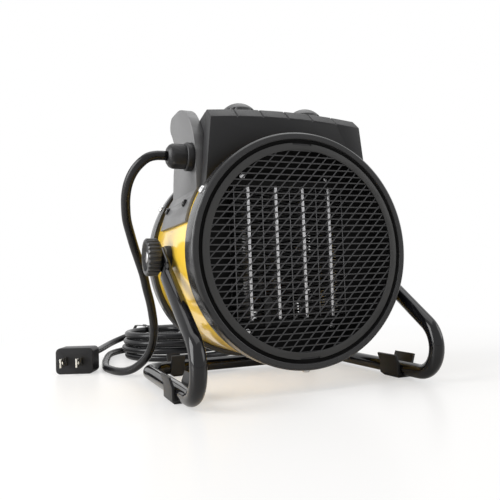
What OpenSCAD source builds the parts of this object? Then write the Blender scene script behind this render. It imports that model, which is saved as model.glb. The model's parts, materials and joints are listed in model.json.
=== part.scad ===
// A portable drum fan heater that tilts in a bent tube stand, with its mains cord coiled
// on the floor behind it. Millimetres. The floor is z = 0, the front faces -Y, and the
// origin lies on the floor under the middle of the object without its cord.

/* [Drum] */
// Outer radius of the drum's sheet
drum_r = 97; // [92:0.5:104]
// Thickness of the drum's sheet
drum_t = 1.2; // [0.8:0.1:2]
// Length from the front ring's face to the rear ring's back
drum_len = 148; // [138:1:165]
// Height of the drum's axis above the floor
axis_h = 118.2; // [114:0.1:132]

/* [Rings and grilles] */
// Wall of the front ring outside the drum
front_ring_wall = 2.8; // [1.6:0.2:4]
// Depth of the front ring
front_ring_depth = 20; // [15:1:24]
// Width of the front ring's rim
front_rim_w = 5.8; // [4:0.2:6.6]
// Width of the front ring's lip inside the drum's seat
front_lip_w = 10.2; // [9.2:0.2:16]
// Wall of the rear ring outside the drum
rear_ring_wall = 5; // [2:0.2:5.6]
// Depth of the rear ring
rear_ring_depth = 14; // [12:1:18]
// Radius of the round opening in the rear ring
rear_opening_r = 88; // [80:0.5:90]
// Depth of the drum's edges inside both rings' faces
ring_recess = 5; // [4.6:0.2:7]
// Thickness of the ring lips that carry the grilles
lip_t = 2; // [1.2:0.2:2.4]
// Width of the ring that holds the front mesh
clamp_ring_w = 6; // [4:0.5:7]
// Thickness of the ring that holds the front mesh
clamp_ring_t = 1.4; // [0.8:0.2:1.6]
// Thickness of the front mesh
mesh_t = 0.8; // [0.6:0.1:1]
// Width of a mesh strand
mesh_w = 1.1; // [0.8:0.1:2]
// Height of a mesh cell, centre to centre
mesh_row = 5.3; // [4.8:0.1:9]
// Width of a mesh cell, centre to centre
mesh_step = 10; // [8:0.5:14]
// Angle of the slanting strands above the level ones
mesh_lean = 47; // [40:1:70]
// Number of round wires in the rear grille
rear_grille_rings = 8; // [5:1:10]

/* [Control box] */
// Half width of the box between the brackets
box_half_w = 73; // [68:0.5:78]
// Gap between the front ring and the hood's face
hood_gap = 4; // [3:0.5:8]
// Depth of the hood
hood_depth = 15; // [12:0.5:18]
// How far the hood's sides spread below
hood_flare = 6.5; // [2:0.5:8]
// Height of the hood's face above the drum at its ends
hood_rise = 18; // [14:0.5:24]
// Run of the bevel above the hood's face
bevel_run = 10; // [6:0.5:11]
// Rise of the bevel above the hood's face
bevel_rise = 8.6; // [5:0.2:12]
// Rise of the box's crown over its ends
crown_rise = 3.9; // [2:0.1:6]
// Slope of the control panel towards the back, in degrees
panel_slope = 11; // [6:1:14]
// Wall of the control box
box_wall = 2.5; // [1.6:0.1:3]
// Number of panels that the grooves divide the bevel into
bevel_panels = 6; // [4:1:8]

/* [Dials] */
// Radius of a dial
dial_r = 17; // [14:0.5:20]
// Height of a dial
dial_h = 15.5; // [13.5:0.5:20]
// Distance of the dials from the middle
dial_x = 34; // [26:0.5:42]
// Radius of a dial's spindle
spindle_r = 3; // [2.5:0.5:4]

/* [Brackets and handle] */
// Thickness of a side bracket's upright
cheek_t = 9; // [6:0.5:9.5]
// Height of the uprights above the drum
cheek_rise = 41; // [34:0.2:46]
// Thickness of the saddle plate on the drum
saddle_t = 2.5; // [1.6:0.1:4]
// Radius of the carry handle
handle_r = 10; // [8:0.5:12]
// Height of the carry handle's axis above the drum
handle_rise = 25; // [23:0.5:28]

/* [Stand] */
// Outer radius of the stand's tube
tube_r = 6.5; // [5:0.05:7]
// Wall of the stand's tube
tube_wall = 1; // [0.8:0.1:1.6]
// Reach of the stand ahead of the front ring's face
front_reach = 35; // [26:1:46]
// Radius of the bends at the front
front_bend_r = 24; // [18:1:32]
// Radius of the bends at the back
rear_bend_r = 20; // [16:1:30]
// Distance of the crossbar behind the rear ring's back
crossbar_behind = 5; // [4:0.5:12]
// Distance of the pivots behind the front ring's face
pivot_y = 80; // [74:1:86]
// Depth of the pivots below the drum's axis
pivot_drop = 0; // [0:0.5:8]
// Thickness of the foot clips
clip_t = 2; // [1.5:0.1:3]

/* [Pivot hardware] */
// Length of the spacers between the drum and the stand
spacer_len = 4.5; // [3.9:0.1:8]
// Radius of the clamp bolts
bolt_r = 3; // [2.5:0.5:4]
// Radius of a clamp knob over its ridges
knob_r = 16.9; // [14:0.1:20]
// Thickness of a clamp knob
knob_t = 12.2; // [9:0.1:16]
// Number of ridges on a clamp knob
knob_ridges = 24; // [16:1:30]

/* [Heating and air] */
// Half width of the heating element
element_half_w = 53; // [48:0.5:56]
// Half height of the heating element
element_half_h = 58.5; // [50:0.5:60]
// Depth of the heating element
element_depth = 14; // [10:0.5:18]
// Distance of the element behind the front ring's face
element_y = 28.5; // [24:0.5:32]
// Number of heater bars
bar_count = 4; // [3:1:5]
// Width of a heater bar
bar_w = 3; // [2.4:0.1:6]
// Height of one fold of the fins
fold_h = 4.5; // [3.5:0.1:8]
// Radius of the fan
fan_r = 88; // [70:0.5:91]
// Number of fan blades
blade_count = 7; // [5:1:9]
// Pitch of the fan blades in degrees
blade_pitch = 32; // [22:1:36]
// Radius of the motor's shaft
shaft_r = 2.5; // [2:0.5:4]

/* [Cord] */
// Diameter of the mains cord
cord_d = 8.2; // [7:0.1:8.4]
// Radius of the coil, to the middle of its outer loops
coil_r = 75; // [73:0.5:84]
// Distance between neighbouring loops
coil_pitch = 8.8; // [8.8:0.1:9.6]

/* [Hidden] */
$fn = 96;

// Clearances
seat_fit = 0.2;
side_gap = 0.3;
run_fit = 0.05;
hole_fit = 0.2;
eps = 1;

// Rings, measured from the front ring's face at y = 0
seat_r = drum_r + seat_fit;
front_opening_r = seat_r - front_lip_w;
front_ring_r = seat_r + front_ring_wall;
rear_ring_r = seat_r + rear_ring_wall;
drum_in_r = drum_r - drum_t;
groove_r = front_ring_r - front_rim_w;
ring_round = 1.5;
lip_y = ring_recess - lip_t;
mesh_y = lip_y - mesh_t;
clamp_ring_y = mesh_y - clamp_ring_t;
clamp_ring_in = front_opening_r - 2;
clamp_ring_out = clamp_ring_in + clamp_ring_w;
mesh_r = clamp_ring_out - seat_fit;
notch_w = 18;
notch_d = 2;
rear_edge_y = drum_len - ring_recess;
rear_front_y = drum_len - rear_ring_depth;
rear_rim_w = 6.8;
rear_groove_r = rear_ring_r - rear_rim_w;
rear_grille_t = 1.8;

// Placing of the whole object
crossbar_y = drum_len + crossbar_behind;
clip_half_w = tube_r + clip_t + 0.2;
clip_lean = 2.6;
ring_y = -(crossbar_y + clip_half_w + clip_lean - front_reach) / 2;
screw_angles = [60, 180, 300];
front_screw_y = front_ring_depth / 2;
rear_screw_y = drum_len - 8;
screw_r = 1.75;
screw_head_r = 3.5;
screw_head_h = 2.4;

// Control box
hood_y = front_ring_depth + hood_gap;
hood_back = hood_y + hood_depth;
face_z = drum_r + hood_rise + crown_rise;
bevel_z = face_z + bevel_rise;
bevel_tilt = atan2(bevel_rise, bevel_run);
crown_r = (box_half_w * box_half_w + crown_rise * crown_rise) / (2 * crown_rise);
panel_start = hood_y + bevel_run;
flare_top = drum_r + hood_rise;
flare_drop = 60;
groove_w = 1.2;
groove_depth = 0.9;

// Brackets, drawn from the side as distance behind the ring's face and height
cheek_front = hood_back + 0.6;
cheek_rear = drum_len - 26;
cheek_top = drum_r + cheek_rise;
cheek_in = box_half_w + side_gap;
cheek_out = cheek_in + cheek_t;
lobe_r = 9;
lobe_y = cheek_rear - lobe_r;
arc_r = lobe_y - 17 - cheek_front;
saddle_r = seat_r + saddle_t;
saddle_top_angle = asin(cheek_in / seat_r) + 1.5;
bracket_screw_angle = asin(cheek_out / saddle_r) + 7.4;
saddle_low_angle = bracket_screw_angle + 11.4;
bracket_screw_y = [cheek_front + 14.4, cheek_rear - 9];
handle_y = cheek_rear - 17.5;
handle_z = drum_r + handle_rise;
finger_gap = 14.5;
box_back = handle_y - handle_r - finger_gap;
spigot_r = 6;
spigot_len = 5;

// Dials
dial_y = (hood_back + box_back) / 2;
pad_r = dial_r + 1;
pad_top = 1.4;
pad_low = -4;
dial_lift = 0.5;
neck_r = spindle_r + 2;
spindle_in = 10;

// Gland on the left bracket
gland_y = cheek_front + 12.2;
gland_thread_r = 8;
gland_nut_r = 11;
gland_flange_r = 12.5;
gland_flange_t = 6.5;
gland_nut_t = 15.5;
gland_tip = cheek_out + gland_flange_t + gland_nut_t;
locknut_t = 3;
locknut_r = 11.6;
locknut_x = box_half_w - box_wall - locknut_t;
gland_z = sqrt(pow(drum_r + 1, 2) - locknut_x * locknut_x) + locknut_r + 3;
cord_r = cord_d / 2;
cable_in = box_half_w - box_wall - 11;
wire_y = hood_back + 9;

// Stand and pivots
flat_t = 4;
flat_r = 9.5;
washer_t = 1;
spacer_r = 10;
flat_x = drum_r + spacer_len + washer_t + side_gap;
tube_x = flat_x + 3.2;
floor_z = clip_t + tube_r - axis_h;
bend_y = -front_reach + tube_r + front_bend_r;
bend_z = floor_z + front_bend_r;
corner_y = crossbar_y - rear_bend_r;
corner_x = tube_x - rear_bend_r;
arm_dy = pivot_y - bend_y;
arm_dz = -pivot_drop - bend_z;
arm_reach = norm([arm_dy, arm_dz]);
tangent_angle = atan2(arm_dz, arm_dy) + acos(front_bend_r / arm_reach);
arm_len = sqrt(arm_reach * arm_reach - front_bend_r * front_bend_r);
flat_len = 34;
taper_len = 14;
knob_x = flat_x + flat_t + side_gap;
bolt_in_x = drum_in_r - 11;
nut_t = 5;
nut_r = 5.8;
side_clip_y = 29;
side_clip_len = 28;
rear_clip_x = 75;
rear_clip_len = 14;

// Inside the drum
baffle_y = element_y + 10;
baffle_t = 1.2;
rim_out = drum_in_r - seat_fit;
cap_t = 5;
cap_depth = element_depth + 4;
cap_y = element_y - 2;
tab_h = 8.5;
tab_t = 1.8;
tab_x = 42;
fan_y = drum_len - 36;
motor_back = fan_y - 28;
stack_t = 20;
motor_front = motor_back - stack_t;
stack_half_w = 28;
rotor_r = 13.9;
air_gap = 0.4;
leg_low = -38;
leg_top = -30;
bearing_gap = 4;
bearing_t = 2;
stud_x = 22;
stud_r = 2;
mount_y = motor_back + bearing_gap + bearing_t;
mount_t = 2;
hub_r = 14;
hub_len = 18;
shaft_ahead = 12;

// Cord, in the object's own frame: the free stretches are laid by hand
loop_steps = 24;
drop_points = [
    [-121, -13.9, 201.4], [-128, -11.3, 195.8], [-133, -7, 188.8], [-136, -1.4, 180.4],
    [-137, 4.6, 170.8], [-136, 12, 161.1], [-134, 19.1, 151.3], [-130, 26.3, 140.4],
    [-125, 34.7, 128.3], [-119.5, 42.8, 116.1], [-114, 50, 102.8], [-110, 56.1, 89.5],
    [-106, 61, 77], [-103, 65.7, 64.6], [-101, 69.5, 51.5], [-100.8, 75.5, 38.5],
    [-103, 83, 26.5], [-108.4, 91.5, 16.6], [-115.5, 101.5, 9.1], [-122.5, 113.5, 5.2],
    [-128.8, 127, 4.1], [-133, 143.5, 4.1], [-134.7, 162, 4.1], [-132.4, 185, 4.1],
    [-128.5, 211.5, 4.1], [-123.4, 237.8, 4.1], [-118, 264, 4.1], [-110.5, 288, 4.1],
    [-99.5, 307, 4.1], [-84.5, 320.5, 4.1], [-66.5, 327.5, 4.1]
];
lead_points = [
    [-64.5, 330, 27], [-82.5, 326, 22.2], [-98.5, 315, 18.3], [-110.5, 299, 15.9],
    [-120, 279, 14.6], [-128.5, 258, 14], [-137, 236, 14]
];
coil_at = [-25, 254.3];
coil_start = 97;
first_turns = 1200;
last_turn = 330;
turn_in = 390;
climb = 180;

// Plug on the floor
plug_at = [-168.6, 161];
plug_turn = -24.5;
plug_w = 41;
plug_d = 22;
plug_h = 28;
plug_round = 5;
relief_len = 27;
relief_r = 7.5;
blade_gap = 17;
blade_w = 9;
blade_t = 1.6;
blade_len = 18;

// Colours
yellow = [0.93, 0.70, 0.10];
black = [0.10, 0.10, 0.11];
dark = [0.20, 0.20, 0.21];
silver = [0.80, 0.80, 0.82];
copper = [0.72, 0.40, 0.20];

function smooth(t) = let (u = min(max(t, 0), 1)) u * u * (3 - 2 * u);
function unit(v) = v / norm(v);
function heading(a) = [cos(a), sin(a)];
function turn_mod(a) = a - 360 * floor(a / 360);

// Height of the control panel's surface
function crown(x) = x * x / (2 * crown_r);
function panel_z(x, y) = bevel_z - (y - panel_start) * tan(panel_slope) - crown(x);

// Body of the drum and all it carries, drawn from the ring's face and the drum's axis
module in_drum() {
    translate([0, ring_y, axis_h]) children();
}

// A shape turned about the drum's axis, given as radius and distance from the face
module lathe() {
    rotate([-90, 0, 0]) rotate_extrude() children();
}

// A flat shape seen from the side, made t thick from x0 outwards
module slab(x0, t) {
    translate([x0, 0, 0]) rotate([90, 0, 90]) linear_extrude(t) children();
}

// A flat shape seen from the front, made d deep from y0 backwards
module plate(y0, d) {
    translate([0, y0 + d, 0]) rotate([90, 0, 0]) linear_extrude(d) children();
}

// Something that stands on the drum, at an angle from the top and a radius
module on_drum(angle, y, r) {
    translate([0, y, 0]) rotate([0, angle, 0]) translate([0, 0, r]) children();
}

// A rod along the drum's axis
module rod_y(r, y0, y1) {
    translate([0, y1, 0]) rotate([90, 0, 0]) cylinder(r = r, h = y1 - y0);
}

// A rod across the drum, from x0 to x1
module rod_x(r, x0, x1) {
    translate([x0, 0, 0]) rotate([0, 90, 0]) cylinder(r = r, h = x1 - x0);
}

module mirrored() {
    children();
    mirror([1, 0, 0]) children();
}

// A pan head screw with a cross recess: its head's underside is at z = 0
module screw(shank) {
    difference() {
        union() {
            rotate_extrude() polygon([
                [0, 0], [screw_head_r, 0], [screw_head_r, 1.1],
                [screw_head_r - 0.9, screw_head_h], [0, screw_head_h]
            ]);
            translate([0, 0, -shank]) cylinder(r = screw_r, h = shank);
        }
        for (a = [0, 90]) rotate([0, 0, a])
            translate([-2.1, -0.45, screw_head_h - 1]) cube([4.2, 0.9, 2]);
    }
}

module drum_core() {
    rod_y(seat_r, -eps, drum_len + eps);
}

module ring_screw_places() {
    for (a = screw_angles) {
        on_drum(a, front_screw_y, front_ring_r) children();
        on_drum(a, rear_screw_y, rear_ring_r) children();
    }
}

module bracket_screw_places() {
    for (side = [-1, 1], y = bracket_screw_y)
        on_drum(side * bracket_screw_angle, y, saddle_r) children();
}

module screw_hole(depth) {
    translate([0, 0, -depth]) cylinder(r = screw_r + hole_fit, h = depth + eps);
}

// Drum and rings

module drum_shell() {
    color(yellow) in_drum() difference() {
        rod_y(drum_r, ring_recess, rear_edge_y);
        rod_y(drum_in_r, 0, drum_len);
        for (side = [-1, 1]) translate([0, pivot_y, -pivot_drop])
            rod_x(bolt_r + hole_fit, side > 0 ? 0 : -drum_len, side > 0 ? drum_len : 0);
        ring_screw_places() screw_hole(12);
        bracket_screw_places() screw_hole(8);
        on_drum(0, wire_y, drum_in_r - eps) cylinder(r = 5, h = drum_t + 2 * eps);
    }
}

module front_ring() {
    color(black) in_drum() difference() {
        lathe() polygon([
            [front_ring_r - ring_round, 0], [front_ring_r, ring_round],
            [front_ring_r, front_ring_depth], [seat_r, front_ring_depth],
            [seat_r, ring_recess], [front_opening_r, ring_recess],
            [front_opening_r, lip_y], [groove_r, lip_y], [groove_r, 0]
        ]);
        for (a = screw_angles) on_drum(a, front_screw_y, front_ring_r) screw_hole(8);
    }
}

module grille_ring() {
    color(black) in_drum() difference() {
        rod_y(clamp_ring_out, clamp_ring_y, mesh_y);
        rod_y(clamp_ring_in, 0, ring_recess);
        for (side = [-1, 1]) translate([-notch_w / 2, 0, side * (clamp_ring_out + 1.5) - 3.5])
            cube([notch_w, ring_recess, 2 * notch_d + 3]);
    }
}

module front_grille() {
    rows = ceil(mesh_r / mesh_row);
    columns = ceil((mesh_r + mesh_r / tan(mesh_lean)) / mesh_step);
    color(dark) in_drum() plate(mesh_y, mesh_t) {
        intersection() {
            circle(mesh_r - 1);
            union() {
                for (i = [-rows : rows])
                    translate([-mesh_r, i * mesh_row - mesh_w / 2]) square([2 * mesh_r, mesh_w]);
                for (i = [-columns : columns]) translate([i * mesh_step, 0]) rotate(mesh_lean)
                    translate([-1.6 * mesh_r, -mesh_w / 2]) square([3.2 * mesh_r, mesh_w]);
            }
        }
        difference() {
            circle(mesh_r);
            circle(front_opening_r - 0.5);
        }
    }
}

module rear_ring() {
    color(black) in_drum() difference() {
        lathe() polygon([
            [seat_r, rear_front_y], [rear_ring_r - ring_round, rear_front_y],
            [rear_ring_r, rear_front_y + ring_round], [rear_ring_r, drum_len - ring_round],
            [rear_ring_r - ring_round, drum_len], [rear_groove_r, drum_len],
            [rear_groove_r, rear_edge_y + lip_t], [rear_opening_r, rear_edge_y + lip_t],
            [rear_opening_r, rear_edge_y], [seat_r, rear_edge_y]
        ]);
        for (a = screw_angles) on_drum(a, rear_screw_y, rear_ring_r) screw_hole(10);
    }
}

module rear_grille() {
    outer = rear_groove_r - seat_fit;
    hub = 12;
    wire = 2;
    step = (rear_opening_r - hub) / (rear_grille_rings + 1);
    color(dark) in_drum() plate(rear_edge_y + lip_t, rear_grille_t) {
        difference() {
            circle(outer);
            circle(rear_opening_r - 0.5);
        }
        for (i = [1 : rear_grille_rings]) difference() {
            circle(hub + i * step + wire / 2);
            circle(hub + i * step - wire / 2);
        }
        circle(hub);
        for (a = [0 : 45 : 135]) rotate(a) square([2 * outer - 2, 2.4], center = true);
    }
}

module ring_screws() {
    color(silver) in_drum() {
        for (a = screw_angles) {
            on_drum(a, front_screw_y, front_ring_r) screw(7);
            on_drum(a, rear_screw_y, rear_ring_r) screw(8.5);
        }
    }
}

// Control box

// All that lies under a crowned surface through [0, y0, z0], tilted and lowered by inset
module under_crown(y0, z0, tilt, inset) {
    r = crown_r / cos(tilt);
    translate([0, y0, z0]) rotate([tilt, 0, 0]) translate([0, 0, -r - inset])
        rotate([90, 0, 0]) cylinder(r = r, h = 4 * drum_len, center = true, $fn = 720);
}

module box_form(inset, y0, y1, flared) {
    w = box_half_w - inset;
    low = w + (flared ? hood_flare : 0);
    intersection() {
        plate(y0, y1 - y0) polygon([
            [-low, flare_top - flare_drop], [low, flare_top - flare_drop], [w, flare_top],
            [w, bevel_z + 5], [-w, bevel_z + 5], [-w, flare_top]
        ]);
        under_crown(hood_y, face_z, bevel_tilt, inset);
        under_crown(panel_start, bevel_z, -panel_slope, inset);
    }
}

module front_hood() {
    pitch = 2 * box_half_w / bevel_panels;
    color(dark) in_drum() difference() {
        box_form(0, hood_y, hood_back, true);
        box_form(box_wall, hood_y + box_wall, hood_back + eps, true);
        drum_core();
        for (i = [1 : bevel_panels - 1]) {
            x = -box_half_w + i * pitch;
            translate([x, hood_y, face_z - crown(x)]) rotate([bevel_tilt, 0, 0])
                translate([-groove_w / 2, -3, -groove_depth]) cube([groove_w, 30, 6]);
        }
    }
}

module at_dial(side) {
    translate([side * dial_x, dial_y, panel_z(dial_x, dial_y)]) rotate([-panel_slope, 0, 0])
        children();
}

module cover_screw_places() {
    for (side = [-1, 1], z = [flare_top - 32, flare_top - 4])
        translate([side * (box_half_w - box_wall - 3), 0, z]) children();
}

module control_panel() {
    boss_r = 3.6;
    boss_len = 9;
    color(dark) in_drum() difference() {
        union() {
            difference() {
                box_form(0, hood_back, box_back - box_wall, false);
                box_form(box_wall, hood_back - eps, box_back, false);
            }
            for (side = [-1, 1]) at_dial(side)
                translate([0, 0, pad_low]) cylinder(r = pad_r, h = pad_top - pad_low);
            cover_screw_places() rod_y(boss_r, box_back - box_wall - boss_len, box_back - box_wall);
        }
        drum_core();
        for (side = [-1, 1]) at_dial(side)
            translate([0, 0, -12]) cylinder(r = neck_r + hole_fit, h = 24);
        cover_screw_places() rod_y(1.5, box_back - 20, box_back);
        translate([-box_half_w - eps, gland_y, gland_z])
            rod_x(gland_thread_r + hole_fit, 0, box_wall + 2 * eps);
    }
}

module box_rear_cover() {
    color(dark) in_drum() difference() {
        box_form(0, box_back - box_wall, box_back, false);
        drum_core();
        cover_screw_places() rod_y(1.5 + hole_fit, box_back - 20, box_back + eps);
    }
}

module box_cover_screws() {
    color(silver) in_drum() cover_screw_places() {
        rod_y(1.5, box_back - 10, box_back);
        rod_y(2.8, box_back, box_back + 1.8);
    }
}

module thermostat_body() {
    color(dark) in_drum() at_dial(-1) difference() {
        union() {
            translate([0, 0, pad_low - 15]) cylinder(r = 14, h = 15);
            translate([0, 0, pad_low]) cylinder(r = neck_r, h = pad_top - pad_low);
            for (x = [-7, 7]) translate([x - 1.5, 10, pad_low - 12]) cube([3, 6, 0.8]);
        }
        translate([0, 0, -spindle_in - eps]) cylinder(r = spindle_r + run_fit, h = 24);
    }
}

module selector_switch_body() {
    color(dark) in_drum() at_dial(1) difference() {
        union() {
            translate([-13, -13, pad_low - 16]) cube([26, 26, 16]);
            translate([0, 0, pad_low]) cylinder(r = neck_r, h = pad_top - pad_low);
            for (x = [-8, 0, 8]) translate([x - 1.5, 12, pad_low - 12]) cube([3, 4, 0.8]);
        }
        translate([0, 0, -spindle_in - eps]) cylinder(r = spindle_r + run_fit, h = 24);
    }
}

// A domed dial with grip flutes and a pointer groove, its underside at z = 0
module dial(mark) {
    dome = 10;
    dome_r = (dial_r * dial_r + dome * dome) / (2 * dome);
    side_h = dial_h - dome;
    difference() {
        intersection() {
            cylinder(r = dial_r, h = dial_h);
            translate([0, 0, dial_h - dome_r]) sphere(dome_r);
        }
        for (i = [0 : 17]) rotate([0, 0, i * 20]) translate([dial_r + 1.2, 0, -eps])
            cylinder(r = 2, h = side_h + eps);
        rotate([0, 0, mark]) translate([4, -0.7, dial_h - 4]) cube([dial_r, 1.4, 8]);
        translate([0, 0, -eps]) cylinder(r = spindle_r + hole_fit, h = 10 + eps);
    }
}

module thermostat_knob() {
    color(black) in_drum() at_dial(-1) translate([0, 0, pad_top + dial_lift]) dial(225);
}

module selector_knob() {
    color(black) in_drum() at_dial(1) translate([0, 0, pad_top + dial_lift]) dial(135);
}

module spindle() {
    translate([0, 0, -spindle_in])
        cylinder(r = spindle_r, h = spindle_in + pad_top + dial_lift + 10);
}

module thermostat_spindle() {
    color(silver) in_drum() at_dial(-1) spindle();
}

module selector_spindle() {
    color(silver) in_drum() at_dial(1) spindle();
}

module terminal_block() {
    half_w = 17;
    top = drum_r + 12;
    color([0.85, 0.85, 0.82]) in_drum() difference() {
        translate([-half_w, hood_back + 14, drum_r - 4]) cube([2 * half_w, 12, top - drum_r + 4]);
        drum_core();
        for (x = [-11, 0, 11]) translate([x, hood_back + 20, top - 4]) cylinder(r = 2.2, h = 5);
        for (x = [-5.5, 5.5]) translate([x - 0.5, hood_back + 13, top - 3]) cube([1, 14, 4]);
    }
}

module tip_over_switch() {
    inner = box_half_w - box_wall;
    color(dark) in_drum() {
        translate([inner - 13, hood_back + 8, drum_r - 12]) cube([13, 18, 22]);
        translate([inner - 16, hood_back + 16, drum_r - 6]) cube([3, 8, 10]);
    }
}

module supply_cable_end() {
    color(black) in_drum() translate([0, gland_y, gland_z]) rod_x(cord_r, -gland_tip, -cable_in);
}

function over_drum(x) = sqrt(drum_r * drum_r - x * x) + 3;

// Three wires over the block: from the cable, down to the element, and to the tip switch
module inner_wiring() {
    top = drum_r + 12;
    hole_y = hood_back + 20;
    rise_y = hole_y - 8.5;
    cap_top = element_half_h + cap_t;
    switch_x = box_half_w - box_wall - 13;
    function over_block(x) = [
        [x, hole_y, top - 3], [x, hole_y, top + 1], [x, hole_y - 2.5, top + 3],
        [x, hole_y - 6, top + 3], [x, rise_y, top + 1], [x, rise_y, top - 8]
    ];
    routes = [
        concat(over_block(-11), [
            [-14, rise_y, over_drum(14)], [-30, rise_y, over_drum(30)],
            [-44, rise_y, over_drum(44)], [-cable_in + 3, gland_y, gland_z],
            [-cable_in + 0.1, gland_y, gland_z]
        ]),
        concat([for (i = [0 : 3]) over_block(0)[i]], [
            [0, wire_y + 1, top - 1], [0, wire_y, drum_r + 5], [0, wire_y, drum_r - 18],
            [0, baffle_y + 4.5, cap_top + 5], [0, baffle_y + 4.5, cap_top + 0.1]
        ]),
        concat(over_block(11), [
            [14, rise_y, over_drum(14)], [30, rise_y, over_drum(30)],
            [44, rise_y, over_drum(44)], [switch_x - 5, rise_y, drum_r - 9],
            [switch_x - 0.1, rise_y, drum_r - 9]
        ])
    ];
    color("firebrick") in_drum() for (route = routes) tube(route, 1.3, 6);
}

// Brackets, gland and handle

module cheek_outline() {
    arc_y = cheek_front + arc_r;
    arc_z = cheek_top - arc_r;
    intersection() {
        translate([arc_y, arc_z]) circle(arc_r);
        translate([cheek_front, arc_z]) square([arc_r + eps, arc_r]);
    }
    translate([lobe_y, cheek_top - lobe_r]) circle(lobe_r);
    polygon([
        [cheek_front, 0], [cheek_front, arc_z], [arc_y, arc_z], [arc_y, cheek_top],
        [lobe_y, cheek_top], [lobe_y + 7, cheek_top - 14.5], [cheek_rear - 6.5, drum_r + 22],
        [cheek_rear - 14.8, drum_r + 11.5], [cheek_rear - 16.3, drum_r + 8.5],
        [cheek_rear - 16, drum_r + 4], [cheek_rear - 8, drum_r - 15.5],
        [cheek_rear - 3.5, drum_r - 40], [cheek_rear - 3.5, 0]
    ]);
}

module saddle_outline() {
    top = seat_r * cos(saddle_top_angle) + 2;
    low = seat_r * cos(saddle_low_angle) - 2;
    hood_foot = sqrt(seat_r * seat_r - pow(box_half_w + hood_flare, 2)) - 3;
    polygon([
        [cheek_front, top], [cheek_rear + 4.3, top], [cheek_rear - 6.6, low],
        [cheek_front - 9.6, low], [cheek_front, hood_foot]
    ]);
}

module bracket(gland_hole) {
    difference() {
        union() {
            slab(cheek_in, cheek_t) cheek_outline();
            intersection() {
                rotate([-90, 0, 0]) rotate([0, 0, -90 + saddle_top_angle])
                    rotate_extrude(angle = saddle_low_angle - saddle_top_angle)
                        translate([seat_r - 2, 0]) square([saddle_t + 2, drum_len]);
                slab(0, 2 * drum_r) saddle_outline();
            }
        }
        drum_core();
        bracket_screw_places() screw_hole(8);
        translate([0, handle_y, handle_z])
            rod_x(spigot_r + hole_fit, 0, cheek_in + spigot_len + hole_fit);
        if (gland_hole) translate([0, gland_y, gland_z])
            rod_x(gland_thread_r + hole_fit, 0, 2 * drum_r);
    }
}

module left_bracket() {
    color(dark) in_drum() mirror([1, 0, 0]) bracket(true);
}

module right_bracket() {
    color(dark) in_drum() bracket(false);
}

module bracket_screws() {
    color(silver) in_drum() bracket_screw_places() screw(7);
}

module carry_handle() {
    color(black) in_drum() translate([0, handle_y, handle_z]) {
        rod_x(handle_r, -box_half_w, box_half_w);
        rod_x(spigot_r, -cheek_in - spigot_len, cheek_in + spigot_len);
    }
}

module gland_body() {
    stem = cheek_t + box_wall + side_gap + locknut_t + 1;
    color(black) in_drum() translate([-cheek_out, gland_y, gland_z]) rotate([0, -90, 0])
        difference() {
            union() {
                translate([0, 0, -stem]) cylinder(r = gland_thread_r, h = stem + eps);
                rotate_extrude() polygon([
                    [0, 0], [gland_flange_r, 0], [gland_flange_r, gland_flange_t - 1],
                    [gland_flange_r - 1, gland_flange_t], [0, gland_flange_t]
                ]);
            }
            translate([0, 0, -stem - eps])
                cylinder(r = cord_r + hole_fit, h = stem + gland_flange_t + 2 * eps);
        }
}

module gland_nut() {
    color(black) in_drum() translate([-cheek_out - gland_flange_t, gland_y, gland_z])
        rotate([0, -90, 0]) difference() {
            intersection() {
                rotate_extrude() polygon([
                    [0, 0], [gland_nut_r, 0], [gland_nut_r, gland_nut_t - 5],
                    [gland_nut_r - 1.4, gland_nut_t - 2], [gland_nut_r - 4, gland_nut_t],
                    [0, gland_nut_t]
                ]);
                cylinder(r = gland_nut_r + 0.2, h = gland_nut_t, $fn = 8);
            }
            translate([0, 0, -eps]) cylinder(r = cord_r + hole_fit, h = gland_nut_t + 2 * eps);
        }
}

module gland_locknut() {
    color(black) in_drum()
        translate([-box_half_w + box_wall, gland_y, gland_z]) rotate([0, 90, 0]) difference() {
            cylinder(r = locknut_r, h = locknut_t, $fn = 6);
            translate([0, 0, -eps]) cylinder(r = gland_thread_r, h = locknut_t + 2 * eps);
        }
}

// Stand, in the drum's frame, with its floor run at floor_z

module arm_place() {
    translate([tube_x, bend_y, bend_z]) rotate([90, 0, 90]) children();
}

module stand_run(r) {
    straight = arm_len - flat_len;
    arm_place() rotate([0, 0, tangent_angle])
        rotate_extrude(angle = 270 - tangent_angle) translate([front_bend_r, 0]) circle(r);
    arm_place() rotate([0, 0, tangent_angle]) translate([front_bend_r, 0, 0])
        rotate([90, 0, 0]) cylinder(r = r, h = straight);
    translate([tube_x, bend_y, floor_z]) {
        rod_y(r, 0, corner_y - bend_y);
        rod_y(r + 0.03, -0.3, 0.3);
    }
    translate([corner_x, corner_y, floor_z])
        rotate_extrude(angle = 90) translate([rear_bend_r, 0]) circle(r);
    translate([0, crossbar_y, floor_z]) rod_x(r, 0, corner_x);
}

// The tapered end of an arm, lying along +X towards the pivot's eye
module arm_taper() {
    translate([0, 0, flat_x]) {
        hull() {
            translate([-flat_len + taper_len - 0.2, -flat_r, 0]) cube([0.2, 2 * flat_r, flat_t]);
            translate([-flat_len, 0, tube_x - flat_x]) rotate([0, 90, 0])
                cylinder(r = tube_r, h = 0.2, $fn = 32);
        }
        translate([-flat_len - 1, 0, tube_x - flat_x]) rotate([0, 90, 0])
            cylinder(r = tube_r - tube_wall / 2, h = 1.5);
    }
}

// The flat eye that goes on from the taper, round the pivot's bolt
module arm_eye() {
    translate([0, 0, flat_x]) difference() {
        union() {
            cylinder(r = flat_r, h = flat_t);
            translate([-flat_len + taper_len, -flat_r, 0])
                cube([flat_len - taper_len, 2 * flat_r, flat_t]);
        }
        translate([0, 0, -eps]) cylinder(r = bolt_r + hole_fit, h = flat_t + 2 * eps);
    }
}

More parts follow.
